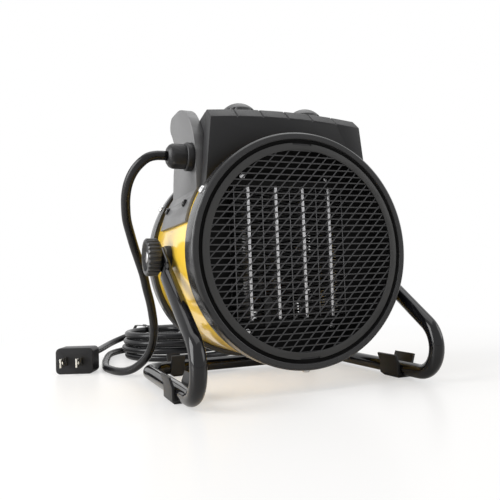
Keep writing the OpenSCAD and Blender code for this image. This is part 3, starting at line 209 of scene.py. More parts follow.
def surface(name, color, rough, metal=0.0, coat=0.0, specular=0.5, vary=0.10, blotch=60.0,
            grain=1800.0, bump=0.10, depth=0.00004, wear=0.0, streak=None,
            painted_shade_within=None):
    """A procedural finish: colour and roughness drift slowly, a fine grain lifts the
    surface, worn edges are paler, streak stretches the grain along one axis, and nearer
    the drum's axis than the radius given for painted shade the finish turns matt, loses
    its coat and goes near black: painted shade in the rings' grooves."""
    coat_rough, spread = 0.08, 0.05
    edge_from, edge_to, paler, least_pale = 0.53, 0.62, 2.2, 0.06
    mat = bpy.data.materials.new(name)
    mat.use_nodes = True
    nodes, links = mat.node_tree.nodes, mat.node_tree.links
    shader = nodes["Principled BSDF"]
    shader.inputs["Metallic"].default_value = metal
    shader.inputs["Coat Weight"].default_value = coat
    shader.inputs["Coat Roughness"].default_value = coat_rough
    shader.inputs["Specular IOR Level"].default_value = specular
    coord = nodes.new("ShaderNodeTexCoord")
    slow = nodes.new("ShaderNodeTexNoise")
    slow.inputs["Scale"].default_value = blotch
    slow.inputs["Detail"].default_value = 3.0
    links.new(coord.outputs["Object"], slow.inputs["Vector"])
    tint = nodes.new("ShaderNodeMix")
    tint.data_type = "RGBA"
    tint.inputs["A"].default_value = [c * (1 - vary) for c in color] + [1]
    tint.inputs["B"].default_value = [min(1, c * (1 + vary)) for c in color] + [1]
    links.new(slow.outputs["Fac"], tint.inputs["Factor"])
    tone = tint.outputs["Result"]
    if wear:
        edge = nodes.new("ShaderNodeNewGeometry")
        sharp = nodes.new("ShaderNodeMapRange")
        sharp.inputs["From Min"].default_value = edge_from
        sharp.inputs["From Max"].default_value = edge_to
        links.new(edge.outputs["Pointiness"], sharp.inputs["Value"])
        share = nodes.new("ShaderNodeMath")
        share.operation = "MULTIPLY"
        share.inputs[1].default_value = wear
        links.new(sharp.outputs["Result"], share.inputs[0])
        worn = nodes.new("ShaderNodeMix")
        worn.data_type = "RGBA"
        worn.inputs["B"].default_value = [
            min(1, c * paler + least_pale) for c in color] + [1]
        links.new(share.outputs["Value"], worn.inputs["Factor"])
        links.new(tone, worn.inputs["A"])
        tone = worn.outputs["Result"]
    gloss = nodes.new("ShaderNodeMapRange")
    gloss.inputs["To Min"].default_value = max(0.02, rough - spread)
    gloss.inputs["To Max"].default_value = min(1.0, rough + spread)
    links.new(slow.outputs["Fac"], gloss.inputs["Value"])
    # Painted shade: inside the given radius the colour goes near black, matt and without coat,
    # standing for the shade in the rings' grooves.
    if painted_shade_within:
        soft_edge = 0.5
        shift = nodes.new("ShaderNodeVectorMath")
        shift.operation = "SUBTRACT"
        shift.inputs[1].default_value = (0, 0, AXIS_H * MM)
        links.new(coord.outputs["Object"], shift.inputs[0])
        flat = nodes.new("ShaderNodeVectorMath")
        flat.operation = "MULTIPLY"
        flat.inputs[1].default_value = (1, 0, 1)
        links.new(shift.outputs["Vector"], flat.inputs[0])
        radius = nodes.new("ShaderNodeVectorMath")
        radius.operation = "LENGTH"
        links.new(flat.outputs["Vector"], radius.inputs[0])
        open_part = nodes.new("ShaderNodeMapRange")
        open_part.inputs["From Min"].default_value = painted_shade_within * MM
        open_part.inputs["From Max"].default_value = (painted_shade_within + soft_edge) * MM
        links.new(radius.outputs["Value"], open_part.inputs["Value"])
        shade = nodes.new("ShaderNodeMix")
        shade.data_type = "RGBA"
        shade.inputs["A"].default_value = (0.003, 0.003, 0.003, 1)
        links.new(open_part.outputs["Result"], shade.inputs["Factor"])
        links.new(tone, shade.inputs["B"])
        tone = shade.outputs["Result"]
        matt = nodes.new("ShaderNodeMapRange")
        matt.inputs["To Min"].default_value = 1.0
        links.new(open_part.outputs["Result"], matt.inputs["Value"])
        links.new(gloss.outputs["Result"], matt.inputs["To Max"])
        gloss = matt
        thin = nodes.new("ShaderNodeMath")
        thin.operation = "MULTIPLY"
        thin.inputs[1].default_value = coat
        links.new(open_part.outputs["Result"], thin.inputs[0])
        links.new(thin.outputs["Value"], shader.inputs["Coat Weight"])
    links.new(tone, shader.inputs["Base Color"])
    links.new(gloss.outputs["Result"], shader.inputs["Roughness"])
    fine = nodes.new("ShaderNodeTexNoise")
    fine.inputs["Scale"].default_value = grain
    fine.inputs["Detail"].default_value = 2.0
    if streak:
        scale = nodes.new("ShaderNodeMapping")
        scale.inputs["Scale"].default_value = streak
        links.new(coord.outputs["Object"], scale.inputs["Vector"])
        links.new(scale.outputs["Vector"], fine.inputs["Vector"])
    else:
        links.new(coord.outputs["Object"], fine.inputs["Vector"])
    lift = nodes.new("ShaderNodeBump")
    lift.inputs["Strength"].default_value = bump
    lift.inputs["Distance"].default_value = depth
    links.new(fine.outputs["Fac"], lift.inputs["Height"])
    links.new(lift.outputs["Normal"], shader.inputs["Normal"])
    return mat


FINISH = {
    "drum_yellow": surface("yellow_coat", (0.86, 0.56, 0.05), 0.30, coat=0.8, vary=0.04,
                           bump=0.18, grain=1400, wear=0.1),
    # The rings' finish is painted near black inside 94 mm from the axis: painted shade in
    # their grooves.
    "ring_black": surface("ring_coat", (0.016, 0.016, 0.017), 0.26, coat=0.2, specular=0.3,
                          vary=0.12, wear=0.5, grain=2200, bump=0.03, painted_shade_within=94.0),
    "mesh_black": surface("mesh_coat", (0.026, 0.026, 0.028), 0.46, specular=0.3, vary=0.15,
                          wear=0.3, grain=2500),
    "stand_tube_black": surface("tube_coat", (0.004, 0.004, 0.005), 0.12, coat=0.25,
                                specular=0.2, vary=0.1, grain=900, bump=0.04),
    "bracket_charcoal": surface("bracket_coat", (0.10, 0.10, 0.102), 0.38, specular=0.35,
                                vary=0.06, grain=2600, bump=0.25, wear=0.25),
    "box_charcoal": surface("box_coat", (0.013, 0.013, 0.014), 0.50, specular=0.25, vary=0.08,
                            grain=2600, bump=0.25, wear=0.3),
    "foot_plastic": surface("foot_moulding", (0.016, 0.016, 0.017), 0.5, specular=0.3,
                            vary=0.12, grain=1600, bump=0.3, wear=0.2),
    "handle_black": surface("handle_grip", (0.02, 0.02, 0.021), 0.55, vary=0.12,
                            grain=1200, bump=0.5, wear=0.15),
    "gland_black": surface("gland_nylon", (0.011, 0.011, 0.012), 0.40, specular=0.3, vary=0.15,
                           grain=1500, bump=0.25, wear=0.2),
    "dial_black": surface("dial_moulding", (0.02, 0.02, 0.021), 0.36, vary=0.1,
                          grain=2000, bump=0.15, wear=0.3),
    "switch_plastic": surface("switch_moulding", (0.038, 0.038, 0.038), 0.5, specular=0.3,
                              grain=1500),
    "pale_plastic": surface("natural_nylon", (0.62, 0.61, 0.56), 0.45, vary=0.05),
    "bright_steel": surface("zinc_plate", (0.62, 0.62, 0.63), 0.25, metal=1.0, vary=0.15,
                            grain=3000, bump=0.2),
    "bar_bright": surface("bright_bar", (0.78, 0.78, 0.80), 0.30, metal=0.6, vary=0.12,
                          blotch=160, grain=2200, bump=0.25),
    "fin_grey": surface("fin_sheet", (0.016, 0.016, 0.017), 0.50, metal=0.5, vary=0.25,
                        blotch=200),
    "element_holder": surface("heatproof_moulding", (0.004, 0.004, 0.004), 0.7, specular=0.2,
                              vary=0.15, grain=1100, bump=0.4),
    "fan_grey": surface("mill_sheet", (0.16, 0.16, 0.165), 0.42, metal=0.9, vary=0.12,
                        streak=(1, 1, 12), bump=0.2),
    "motor_iron": surface("laminations", (0.05, 0.05, 0.055), 0.5, metal=0.5, vary=0.2,
                          streak=(0.2, 40, 0.2), bump=0.8, depth=0.0001),
    "coil_copper": surface("enamelled_copper", (0.26, 0.09, 0.03), 0.40, metal=0.7,
                           vary=0.2, streak=(0.3, 0.3, 30), bump=0.9, depth=0.0002),
    "wire_red": surface("silicone_sleeve", (0.40, 0.03, 0.02), 0.5, vary=0.1),
    "cord_black": surface("cord_rubber", (0.007, 0.007, 0.008), 0.26, specular=0.25,
                          vary=0.15, grain=1500, bump=0.12),
    "tie_black": surface("tie_strap", (0.018, 0.018, 0.018), 0.5, grain=1500, bump=0.4),
    "plug_black": surface("plug_rubber", (0.009, 0.009, 0.010), 0.40, specular=0.3, vary=0.15,
                          grain=1500, bump=0.3, wear=0.15),
    "blade_nickel": surface("nickel_plate", (0.70, 0.68, 0.62), 0.22, metal=1.0, vary=0.1,
                            streak=(1, 10, 1), bump=0.15),
}

node_slot = {s["node"]: s["material_slot"] for s in frame["record"]["subparts"]}
body_of_node = {n: body for body, members in frame["record"]["behaviour"]["bodies"].items()
                for n in members}

for node_name, cad in frame["nodes"].items():
    finish = FINISH[node_slot[node_name]]
    if cad.material_slots:
        for cad_slot in cad.material_slots:
            cad_slot.material = finish
    else:
        cad.data.materials.append(finish)


# Mesh helpers

def finish_piece(mesh, name, slot, body, nodes=(), sharp=35.0):
    """Makes an object of a mesh in the model's frame, with its finish, body and nodes."""
    piece = bpy.data.objects.new(name, mesh)
    bpy.context.scene.collection.objects.link(piece)
    mesh.materials.clear()
    mesh.materials.append(FINISH[slot])
    mesh.shade_smooth()
    if sharp:
        mesh.set_sharp_from_angle(angle=math.radians(sharp))
    if body:
        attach(piece, body)
    if nodes:
        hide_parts(*nodes)
    return piece


def mesh_of(name, points, faces):
    mesh = bpy.data.meshes.new(name)
    mesh.from_pydata([tuple(p) for p in points], [], faces)
    mesh.validate()
    return mesh


def rounded(node, width, segments=2, slot=None):
    """A copy of a CAD node's mesh with its crisp edges rolled over, width in millimetres."""
    weld, flat_within, crisp_from = 0.00002, math.radians(1.0), math.radians(28.0)
    bm = bmesh.new()
    bm.from_mesh(frame["nodes"][node].data)
    bmesh.ops.remove_doubles(bm, verts=bm.verts, dist=weld)
    bmesh.ops.dissolve_limit(bm, angle_limit=flat_within, verts=bm.verts, edges=bm.edges,
                             delimit={"NORMAL"})
    crisp = [e for e in bm.edges if e.is_manifold and e.calc_face_angle(0) > crisp_from]
    bmesh.ops.bevel(bm, geom=crisp, offset=width * MM, segments=segments, profile=0.5,
                    affect="EDGES", clamp_overlap=True, loop_slide=True)
    mesh = bpy.data.meshes.new(node + "_edges")
    bm.to_mesh(mesh)
    bm.free()
    return finish_piece(mesh, node + "_rounded", slot or node_slot[node],
                        body_of_node[node], [node])


def soften(points, radius):
    """A closed outline with each corner rounded; radius may be one for each point."""
    count, steps = len(points), 4
    radii = radius if hasattr(radius, "__len__") else [radius] * count
    out = []
    for i, (x, y) in enumerate(points):
        here = Vector((x, y))
        back = Vector(points[i - 1]) - here
        ahead = Vector(points[(i + 1) % count]) - here
        r = radii[i]
        if r <= 0:
            out.append((x, y))
            continue
        turn = back.angle(ahead)
        reach = min(r / math.tan(turn / 2), 0.45 * back.length, 0.45 * ahead.length)
        a, b = here + back.normalized() * reach, here + ahead.normalized() * reach
        for k in range(steps + 1):
            t = k / steps
            p = a * (1 - t) ** 2 + here * 2 * t * (1 - t) + b * t ** 2
            out.append((p.x, p.y))
    return out


def lathe(name, outline, slot, body, nodes=(), *, turns, radius):
    """A closed outline of radius and distance from the ring's face, in millimetres, with
    its corners rounded by radius and turned about the drum's axis."""
    ring = soften(outline, radius)
    points, faces, n = [], [], len(ring)
    for i in range(turns):
        a = 2 * math.pi * i / turns
        for r, y in ring:
            points.append(on_drum(r * math.sin(a), y, r * math.cos(a)))
    for i in range(turns):
        j = (i + 1) % turns
        for k in range(n):
            m = (k + 1) % n
            faces.append((i * n + k, j * n + k, j * n + m, i * n + m))
    mesh = mesh_of(name, points, faces)
    fix_normals(mesh)
    return finish_piece(mesh, name, slot, body, nodes, sharp=40.0)


def fix_normals(mesh):
    bm = bmesh.new()
    bm.from_mesh(mesh)
    bmesh.ops.recalc_face_normals(bm, faces=bm.faces)
    bm.to_mesh(mesh)
    bm.free()


def smooth_line(points, step):
    """A Catmull-Rom line through points, resampled at about step."""
    p = [Vector(q) for q in points]
    p = [2 * p[0] - p[1]] + p + [2 * p[-1] - p[-2]]
    out = []
    for i in range(1, len(p) - 2):
        parts = max(1, round((p[i + 1] - p[i]).length / step))
        for k in range(parts):
            t = k / parts
            out.append(0.5 * (2 * p[i] + (p[i + 1] - p[i - 1]) * t
                       + (2 * p[i - 1] - 5 * p[i] + 4 * p[i + 1] - p[i + 2]) * t * t
                       + (3 * p[i] - p[i - 1] - 3 * p[i + 1] + p[i + 2]) * t ** 3))
    out.append(p[-2])
    return out


def frames_along(line):
    """Two directions across the line at each point, carried along without twist."""
    tangents = [(line[min(i + 1, len(line) - 1)] - line[max(i - 1, 0)]).normalized()
                for i in range(len(line))]
    side = tangents[0].orthogonal().normalized()
    if abs(tangents[0].z) < 0.9:
        side = (Vector((0, 0, 1)) - tangents[0] * tangents[0].z).normalized()
    out = []
    for t in tangents:
        side = (side - t * side.dot(t)).normalized()
        out.append((side, t.cross(side)))
    return out


def tube_mesh(name, line, section):
    """A capped tube along a line. section(i, u, v) gives the cross outline at point i, as
    offsets along the two directions u and v."""
    rings = [section(i, u, v) for i, (u, v) in enumerate(frames_along(line))]
    points = [p + q for p, ring in zip(line, rings) for q in ring]
    faces, sides = [], len(rings[0])
    for i in range(len(line) - 1):
        for k in range(sides):
            a, b = i * sides + k, i * sides + (k + 1) % sides
            faces.append((a, b, b + sides, a + sides))
    faces.append(tuple(range(sides))[::-1])
    last = (len(line) - 1) * sides
    faces.append(tuple(range(last, last + sides)))
    mesh = mesh_of(name, points, faces)
    fix_normals(mesh)
    return mesh


# The cord

GLAND_EXIT = (-104.3, -12.85, 203.848)
DROP = [GLAND_EXIT, (GLAND_EXIT[0] - CORD_D, GLAND_EXIT[1], GLAND_EXIT[2]),
        (-121, -13.9, 201.4), (-128, -11.3, 195.8), (-133, -7, 188.8), (-136, -1.4, 180.4),
        (-137, 4.6, 170.8), (-136, 12, 161.1), (-134, 19.1, 151.3), (-130, 26.3, 140.4),
        (-125, 34.7, 128.3), (-119.5, 42.8, 116.1), (-114, 50, 102.8), (-110, 56.1, 89.5),
        (-106, 61, 77), (-103, 65.7, 64.6), (-101, 69.5, 51.5), (-100.8, 75.5, 38.5),
        (-103, 83, 26.5), (-108.4, 91.5, 16.6), (-115.5, 101.5, 9.1), (-122.5, 113.5, 5.2),
        (-128.8, 127, 4.1), (-133, 143.5, 4.1), (-134.7, 162, 4.1), (-132.4, 185, 4.1),
        (-128.5, 211.5, 4.1), (-123.4, 237.8, 4.1), (-118, 264, 4.1), (-110.5, 288, 4.1),
        (-99.5, 307, 4.1), (-84.5, 320.5, 4.1), (-66.5, 327.5, 4.1)]
LEAD = [(-64.5, 330, 27), (-82.5, 326, 22.2), (-98.5, 315, 18.3), (-110.5, 299, 15.9),
        (-120, 279, 14.6), (-128.5, 258, 14), (-137, 236, 14)]
COIL_AT = (-25, 254.3)
COIL_R = 75.0
PITCH = 8.8
COIL_START = 97.0
FIRST_TURNS, LAST_TURN, TURN_IN, CLIMB = 1200.0, 330.0, 390.0, 180.0
LOOP_STEP = 15.0
CORD_STEP, CORD_SIDES = 3.5, 16
PLUG_AT = (-168.6, 161)
PLUG_TURN = -24.5
PLUG_D, PLUG_H, RELIEF_LEN = 22.0, 28.0, 27.0


def ease(t):
    t = min(max(t, 0.0), 1.0)
    return t * t * (3 - 2 * t)


def coil_line():
    """The coil's centreline: in, out and in again over three layers, a fold, and a last
    layer out, as the source has it."""
    def lap(t):
        return t if t < TURN_IN else 2 * TURN_IN - t if t < 2 * TURN_IN else t - 2 * TURN_IN

    def height(t):
        return CORD_R + PITCH * (ease((t - TURN_IN + CLIMB / 2) / CLIMB)
                                 + ease((t - 2 * TURN_IN + CLIMB / 2) / CLIMB))

    def at(r, degrees, z):
        a = math.radians(degrees)
        return Vector((COIL_AT[0] + r * math.cos(a), COIL_AT[1] + r * math.sin(a), z))

    line = [at(COIL_R - PITCH * lap(t) / 360, COIL_START - t, height(t))
            for t in np.arange(0, FIRST_TURNS + 0.1, LOOP_STEP)]
    a1, a2 = COIL_START - FIRST_TURNS, COIL_START - LAST_TURN
    r1, r2 = COIL_R - PITCH * lap(FIRST_TURNS) / 360, COIL_R - PITCH * LAST_TURN / 360
    k = -2 * math.cos(math.radians((a2 - a1) % 360))
    p, q = (2 + k) * (r1 + r2), r1 * r1 + r2 * r2 + k * r1 * r2
    rho = (math.sqrt(p * p + 4 * (2 - k) * q) - p) / (2 * (2 - k))
    c1 = (r1 - rho) * Vector((math.cos(math.radians(a1)), math.sin(math.radians(a1))))
    c2 = (r2 - rho) * Vector((math.cos(math.radians(a2)), math.sin(math.radians(a2))))
    mid = math.degrees(math.atan2(c2.y - c1.y, c2.x - c1.x))
    s1, s2 = (a1 - mid) % 360, (a2 - mid - 180) % 360

    def fold(centre, degrees, s):
        a = math.radians(degrees)
        rise = 2 + ease((s / (s1 + s2) - 0.2) / 0.6)
        return Vector((COIL_AT[0] + centre.x + rho * math.cos(a),
                       COIL_AT[1] + centre.y + rho * math.sin(a), CORD_R + PITCH * rise))

    n1, n2 = math.ceil(s1 / 20), math.ceil(s2 / 20)
    line += [fold(c1, a1 - s1 * i / n1, s1 * i / n1) for i in range(1, n1 + 1)]
    line += [fold(c2, mid + 180 + s2 * i / n2, s1 + s2 * i / n2) for i in range(1, n2)]
    line += [at(COIL_R - PITCH * t / 360, COIL_START - t, CORD_R + 3 * PITCH)
             for t in np.arange(LAST_TURN, -0.1, -LOOP_STEP)]
    return line


def cord_line():
    coil = coil_line()
    a = math.radians(COIL_START)
    along = Vector((-math.sin(a), math.cos(a), 0)) * CORD_D
    b = math.radians(PLUG_TURN)
    axis = Vector((-math.sin(b), math.cos(b), 0))
    relief_end = Vector((*PLUG_AT, PLUG_H / 2)) + (PLUG_D + RELIEF_LEN) * axis
    line = [Vector(p) for p in DROP] + [coil[0] + along] + coil
    line += [coil[-1] + along] + [Vector(p) for p in LEAD]
    line += [relief_end + CORD_D * axis, relief_end]
    return smooth_line([p * MM for p in line], CORD_STEP * MM)


def cord_section(i, u, v):
    radius = CORD_R * MM
    return [u * (radius * math.cos(2 * math.pi * k / CORD_SIDES))
            + v * (radius * math.sin(2 * math.pi * k / CORD_SIDES))
            for k in range(CORD_SIDES)]


centre_line = cord_line()
cord = finish_piece(tube_mesh("mains_cord", centre_line, cord_section), "mains_cord",
                    "cord_black", None, ["cord_drop", "cord_coil", "cord_lead"], sharp=None)
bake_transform(cord)


# Rounded CAD pieces

for part, roll in {
    "front_hood": 0.5, "control_panel": 0.5, "box_rear_cover": 0.4,
    "left_bracket": 0.5, "right_bracket": 0.5, "foot_clips": 0.35,
    "gland_body": 0.5, "gland_nut": 0.8, "pivot_spacers": 0.4, "pivot_washers": 0.2,
    "left_clamp_knob": 0.35, "right_clamp_knob": 0.35,
    "left_clamp_bolt": 0.4, "right_clamp_bolt": 0.4,
    "thermostat_knob": 0.4, "selector_knob": 0.4,
    "ring_screws": 0.2, "box_cover_screws": 0.2,
    "coil_tie": 0.25, "plug_blades": 0.25,
}.items():
    rounded(part, roll)

plug = rounded("plug_body", 2.6, 4)
relief = rounded("plug_relief", 0.25)


# Drum, rings, grilles

BARREL_ENDS = (RING_RECESS, DRUM_LEN - RING_RECESS)
BARREL = [(DRUM_R - DRUM_SHEET, BARREL_ENDS[0]), (DRUM_R, BARREL_ENDS[0]),
          (DRUM_R, BARREL_ENDS[1]), (DRUM_R - DRUM_SHEET, BARREL_ENDS[1])]
# Radius, distance from the front ring's face, and how far each corner is rolled
FRONT_RING = [(98.5, 0, 1.2), (100, 1.5, 1.2), (100, 20, 0.8), (97.2, 20, 0.1),
              (97.2, 5, 0), (87, 5, 0.2), (87, 3, 0.5), (94.2, 3, 0.3), (94.2, 0, 0.9)]
REAR_RING = [(97.2, 134, 0.2), (100.7, 134, 1.2), (102.2, 135.5, 1.2), (102.2, 146.5, 1.2),
             (100.7, DRUM_LEN, 1.2), (95.4, DRUM_LEN, 0.9), (95.4, 145, 0.3), (88, 145, 0.5),
             (88, 143, 0.3), (97.2, 143, 0)]
FINE_TURNS = 240

lathe("drum_barrel", BARREL, "drum_yellow", "drum", ["drum_shell"], turns=FINE_TURNS,
      radius=0.3)
for ring_name, ring_outline, ring_node in (("front_ring_rim", FRONT_RING, "front_ring"),
                                           ("rear_ring_rim", REAR_RING, "rear_ring")):
    lathe(ring_name, [corner[:2] for corner in ring_outline], "ring_black", "drum",
          [ring_node], turns=FINE_TURNS, radius=[corner[2] for corner in ring_outline])
rounded("grille_ring", 0.4, slot="switch_plastic")
# The baffle plate takes the near-black heatproof finish: a dark plate, made darker still as
# painted shade inside the drum.
rounded("baffle_plate", 0.2, slot="element_holder")
rounded("bracket_screws", 0.2, slot="stand_tube_black")


def bars_mesh(name, bars):
    """Many straight bars in one mesh: each is (start, end, across, thick, twist), with the
    width laid across the drum's axis before the twist."""
    points, faces = [], []
    outline = [(-0.5, -0.3), (-0.5, 0.3), (-0.38, 0.5), (0.38, 0.5), (0.5, 0.3),
               (0.5, -0.3), (0.38, -0.5), (-0.38, -0.5)]
    n = len(outline)
    for start, end, across, thick, twist in bars:
        run = (end - start).normalized()
        side = run.cross(Vector((0, 1, 0))).normalized()
        turn = Matrix.Rotation(math.radians(twist), 3, run)
        u, v = turn @ side * across * MM, turn @ Vector((0, 1, 0)) * thick * MM
        base = len(points)
        for end_point in (start, end):
            points += [end_point + u * a + v * b for a, b in outline]
        for k in range(n):
            m = (k + 1) % n
            faces.append((base + k, base + m, base + n + m, base + n + k))
        faces.append(tuple(range(base, base + n))[::-1])
        faces.append(tuple(range(base + n, base + 2 * n)))
    mesh = mesh_of(name, points, faces)
    fix_normals(mesh)
    return mesh


def front_mesh():
    """Slit sheet with level strands and strands that lean to the right, each rolled."""
    reach, depth, row, pitch, lean = 90.0, 2.6, 5.3, 10.0, math.radians(47)
    rows, slants, least_reach = 16, 18, 2.0
    level_strand, slant_strand = (1.05, 0.5, 24), (1.0, 0.5, -18)
    bars = []
    for i in range(-rows, rows + 1):
        z = i * row
        half = math.sqrt(reach * reach - z * z)
        bars.append((on_drum(-half, depth, z), on_drum(half, depth, z), *level_strand))
    for i in range(-slants, slants + 1):
        offset = i * pitch * math.sin(lean)
        if abs(offset) >= reach - least_reach:
            continue
        half = math.sqrt(reach * reach - offset * offset)
        foot = Vector((i * pitch * math.sin(lean) ** 2,
                       -i * pitch * math.sin(lean) * math.cos(lean)))
        d = Vector((math.cos(lean), math.sin(lean))) * half
        bars.append((on_drum(foot.x - d.x, depth, foot.y - d.y),
                     on_drum(foot.x + d.x, depth, foot.y + d.y), *slant_strand))
    return bars_mesh("front_mesh", bars)


finish_piece(front_mesh(), "front_mesh", "mesh_black", "drum", ["front_grille"], sharp=25)
lathe("front_mesh_border", [(86.2, 2.25), (90.7, 2.25), (90.7, 2.95), (86.2, 2.95)],
      "mesh_black", "drum", turns=200, radius=0.15)


def wire_rings(name, radii, y, wire):
    """Round wires bent into rings about the drum's axis, in one mesh."""
    turns, sides = 140, 10
    points, faces = [], []
    for r in radii:
        base = len(points)
        for i in range(turns):
            a = 2 * math.pi * i / turns
            for k in range(sides):
                b = 2 * math.pi * k / sides
                here = r + wire * math.cos(b)
                points.append(on_drum(here * math.sin(a), y + wire * math.sin(b),
                                      here * math.cos(a)))
        for i in range(turns):
            for k in range(sides):
                a0, a1 = base + i * sides, base + (i + 1) % turns * sides
                m = (k + 1) % sides
                faces.append((a0 + k, a1 + k, a1 + m, a0 + m))
    mesh = mesh_of(name, points, faces)
    fix_normals(mesh)
    return mesh


BADGE_R, REAR_OPENING_R, REAR_GAPS = 12.0, 88.0, 9
REAR_EDGE_R, SPOKE_FOOT_R, SPOKE_TIP_R, SPOKES = 93.3, 9.0, 93.5, 8
WIRE_Y, SPOKE_Y, WIRE_R, SPOKE_W, SPOKE_T = 146.1, 146.7, 0.95, 2.4, 1.1
REAR_STEP = (REAR_OPENING_R - BADGE_R) / REAR_GAPS
finish_piece(wire_rings("rear_wires", [BADGE_R + REAR_STEP * i for i in range(1, REAR_GAPS)]
                        + [REAR_EDGE_R], WIRE_Y, WIRE_R),
             "rear_wires", "mesh_black", "drum", ["rear_grille"], sharp=None)


def spoke(angle):
    foot, tip = (on_drum(r * math.cos(angle), SPOKE_Y, r * math.sin(angle))
                 for r in (SPOKE_FOOT_R, SPOKE_TIP_R))
    return foot, tip, SPOKE_W, SPOKE_T, 0


finish_piece(bars_mesh("rear_spokes", [spoke(2 * math.pi * i / SPOKES)
                                       for i in range(SPOKES)]),
             "rear_spokes", "mesh_black", "drum")
lathe("rear_badge", [(0.01, 145.1), (11.5, 145.1), (12, 145.6), (11.6, 147), (9, 147.5),
                     (0.01, 147.6)], "mesh_black", "drum", turns=64, radius=0.2)


# Heater and fan

def fold_sheets():
    """The fins: thin sheet folded in a close zigzag between each bar and its dividers."""
    points, faces = [], []
    half_h, fold, thick = 57.8, 1.25, 0.16
    front, back = ELEMENT_Y + 0.6, ELEMENT_Y + 13.4
    pitch = 2 * ELEMENT_HALF_W / ELEMENT_BARS
    width = (pitch - BAR_W - DIVIDER_W) / 2
    count = int(2 * half_h / fold)
    for i in range(ELEMENT_BARS):
        start = -ELEMENT_HALF_W + i * pitch
        for left in (start + DIVIDER_W / 2, start + pitch / 2 + BAR_W / 2):
            base = len(points)
            for k in range(count + 1):
                z = -half_h + k * fold
                x = left + (0 if k % 2 == 0 else width)
                for y in (front, back):
                    points.append(on_drum(x, y, z - thick))
                    points.append(on_drum(x, y, z + thick))
            for k in range(count):
                a, b = base + 4 * k, base + 4 * k + 4
                faces += [(a, b, b + 2, a + 2), (a + 1, a + 3, b + 3, b + 1),
                          (a, a + 1, b + 1, b), (a + 2, b + 2, b + 3, a + 3)]
    return mesh_of("fin_folds", points, faces)


finish_piece(fold_sheets(), "fin_folds", "fin_grey", "drum", ["heat_fins"], sharp=20)
# Two near-black strips in the slots between the element's sides and the baffle's window:
# painted shade, a dark sheet put where the slots lie in shade
SHADE_STRIP_HALF_H, SHADE_STRIP_W, SHADE_STRIP_T = 58.0, 3.2, 0.8
SHADE_STRIP_X, SHADE_STRIP_Y = ELEMENT_HALF_W + 2.2, ELEMENT_Y + 11.7
finish_piece(bars_mesh("element_shade_strips", [
    (on_drum(x, SHADE_STRIP_Y, -SHADE_STRIP_HALF_H), on_drum(x, SHADE_STRIP_Y, SHADE_STRIP_HALF_H), SHADE_STRIP_W, SHADE_STRIP_T, 0)
    for x in (-SHADE_STRIP_X, SHADE_STRIP_X)]), "element_shade_strips", "element_holder", "drum")


def fan_blades():
    """Seven cambered blades, steeper at the hub, with a rolled thickness."""
    points, faces = [], []
    blades, spans, chords = 7, 12, 10
    foot_r, blade_reach, foot_pitch, untwist = 12.5, 74.5, 40, 14
    least_chord, belly, rise, thick, sweep = 24, 22, 3.0, 1.1, 6
    swell_from, swell_over = 0.25, 0.7
    for blade in range(blades):
        turn = 2 * math.pi * blade / blades
        for face in (0, 1):
            base = len(points)
            for i in range(spans + 1):
                t = i / spans
                r = foot_r + t * blade_reach
                pitch = math.radians(foot_pitch - untwist * t)
                swell = min(1, swell_from + swell_over * t)
                chord = least_chord + belly * math.sin(math.pi * swell)
                for k in range(chords + 1):
                    u = k / chords - 0.5
                    x, y = u * chord * math.cos(pitch), u * chord * math.sin(pitch)
                    camber = rise * (1 - 4 * u * u)
                    x -= camber * math.sin(pitch)
                    y += camber * math.cos(pitch) + (face - 0.5) * thick
                    x += sweep * t * t
                    z = math.sqrt(max(r * r - x * x, 1))
                    points.append(on_drum(x * math.cos(turn) + z * math.sin(turn), FAN_Y + y,
                                          -x * math.sin(turn) + z * math.cos(turn)))
            for i in range(spans):
                for k in range(chords):
                    a = base + i * (chords + 1) + k
                    quad = (a, a + 1, a + chords + 2, a + chords + 1)
                    faces.append(quad if face else quad[::-1])
        near, far = base - (spans + 1) * (chords + 1), base
        edge = ([i * (chords + 1) for i in range(spans + 1)]
                + [spans * (chords + 1) + k for k in range(1, chords + 1)]
                + [i * (chords + 1) + chords for i in range(spans - 1, -1, -1)]
                + [k for k in range(chords - 1, 0, -1)])
        for a, b in zip(edge, edge[1:] + edge[:1]):
            faces.append((near + a, near + b, far + b, far + a))
    mesh = mesh_of("fan_blades", points, faces)
    fix_normals(mesh)
    return mesh


finish_piece(fan_blades(), "fan_blades", "fan_grey", "fan", ["fan_wheel"], sharp=40)
lathe("fan_hub", [(2.6, 103), (12, 103), (14, 105), (14, 119), (12.5, 121), (7, 121),
                  (6, 123.5), (2.6, 123.5)], "fan_grey", "fan", turns=64, radius=0.8)
for part, roll in {"heater_bars": 0.5, "element_frame": 0.5, "element_screws": 0.2,
                   "motor_coil": 2.0, "motor_stack": 0.3, "terminal_block": 0.6,
                   "tip_over_switch": 0.5, "thermostat_body": 0.4,
                   "selector_switch_body": 0.5, "gland_locknut": 0.4,
                   "pivot_nuts": 0.4}.items():
    rounded(part, roll)
rounded("element_dividers", 0.2, slot="fan_grey")
rounded("thermal_cutout", 0.3, slot="fin_grey")
for part in ("motor_mount", "motor_bearing_brackets", "motor_screws"):
    rounded(part, 0.3, slot="fan_grey")


# Handle and dial marks

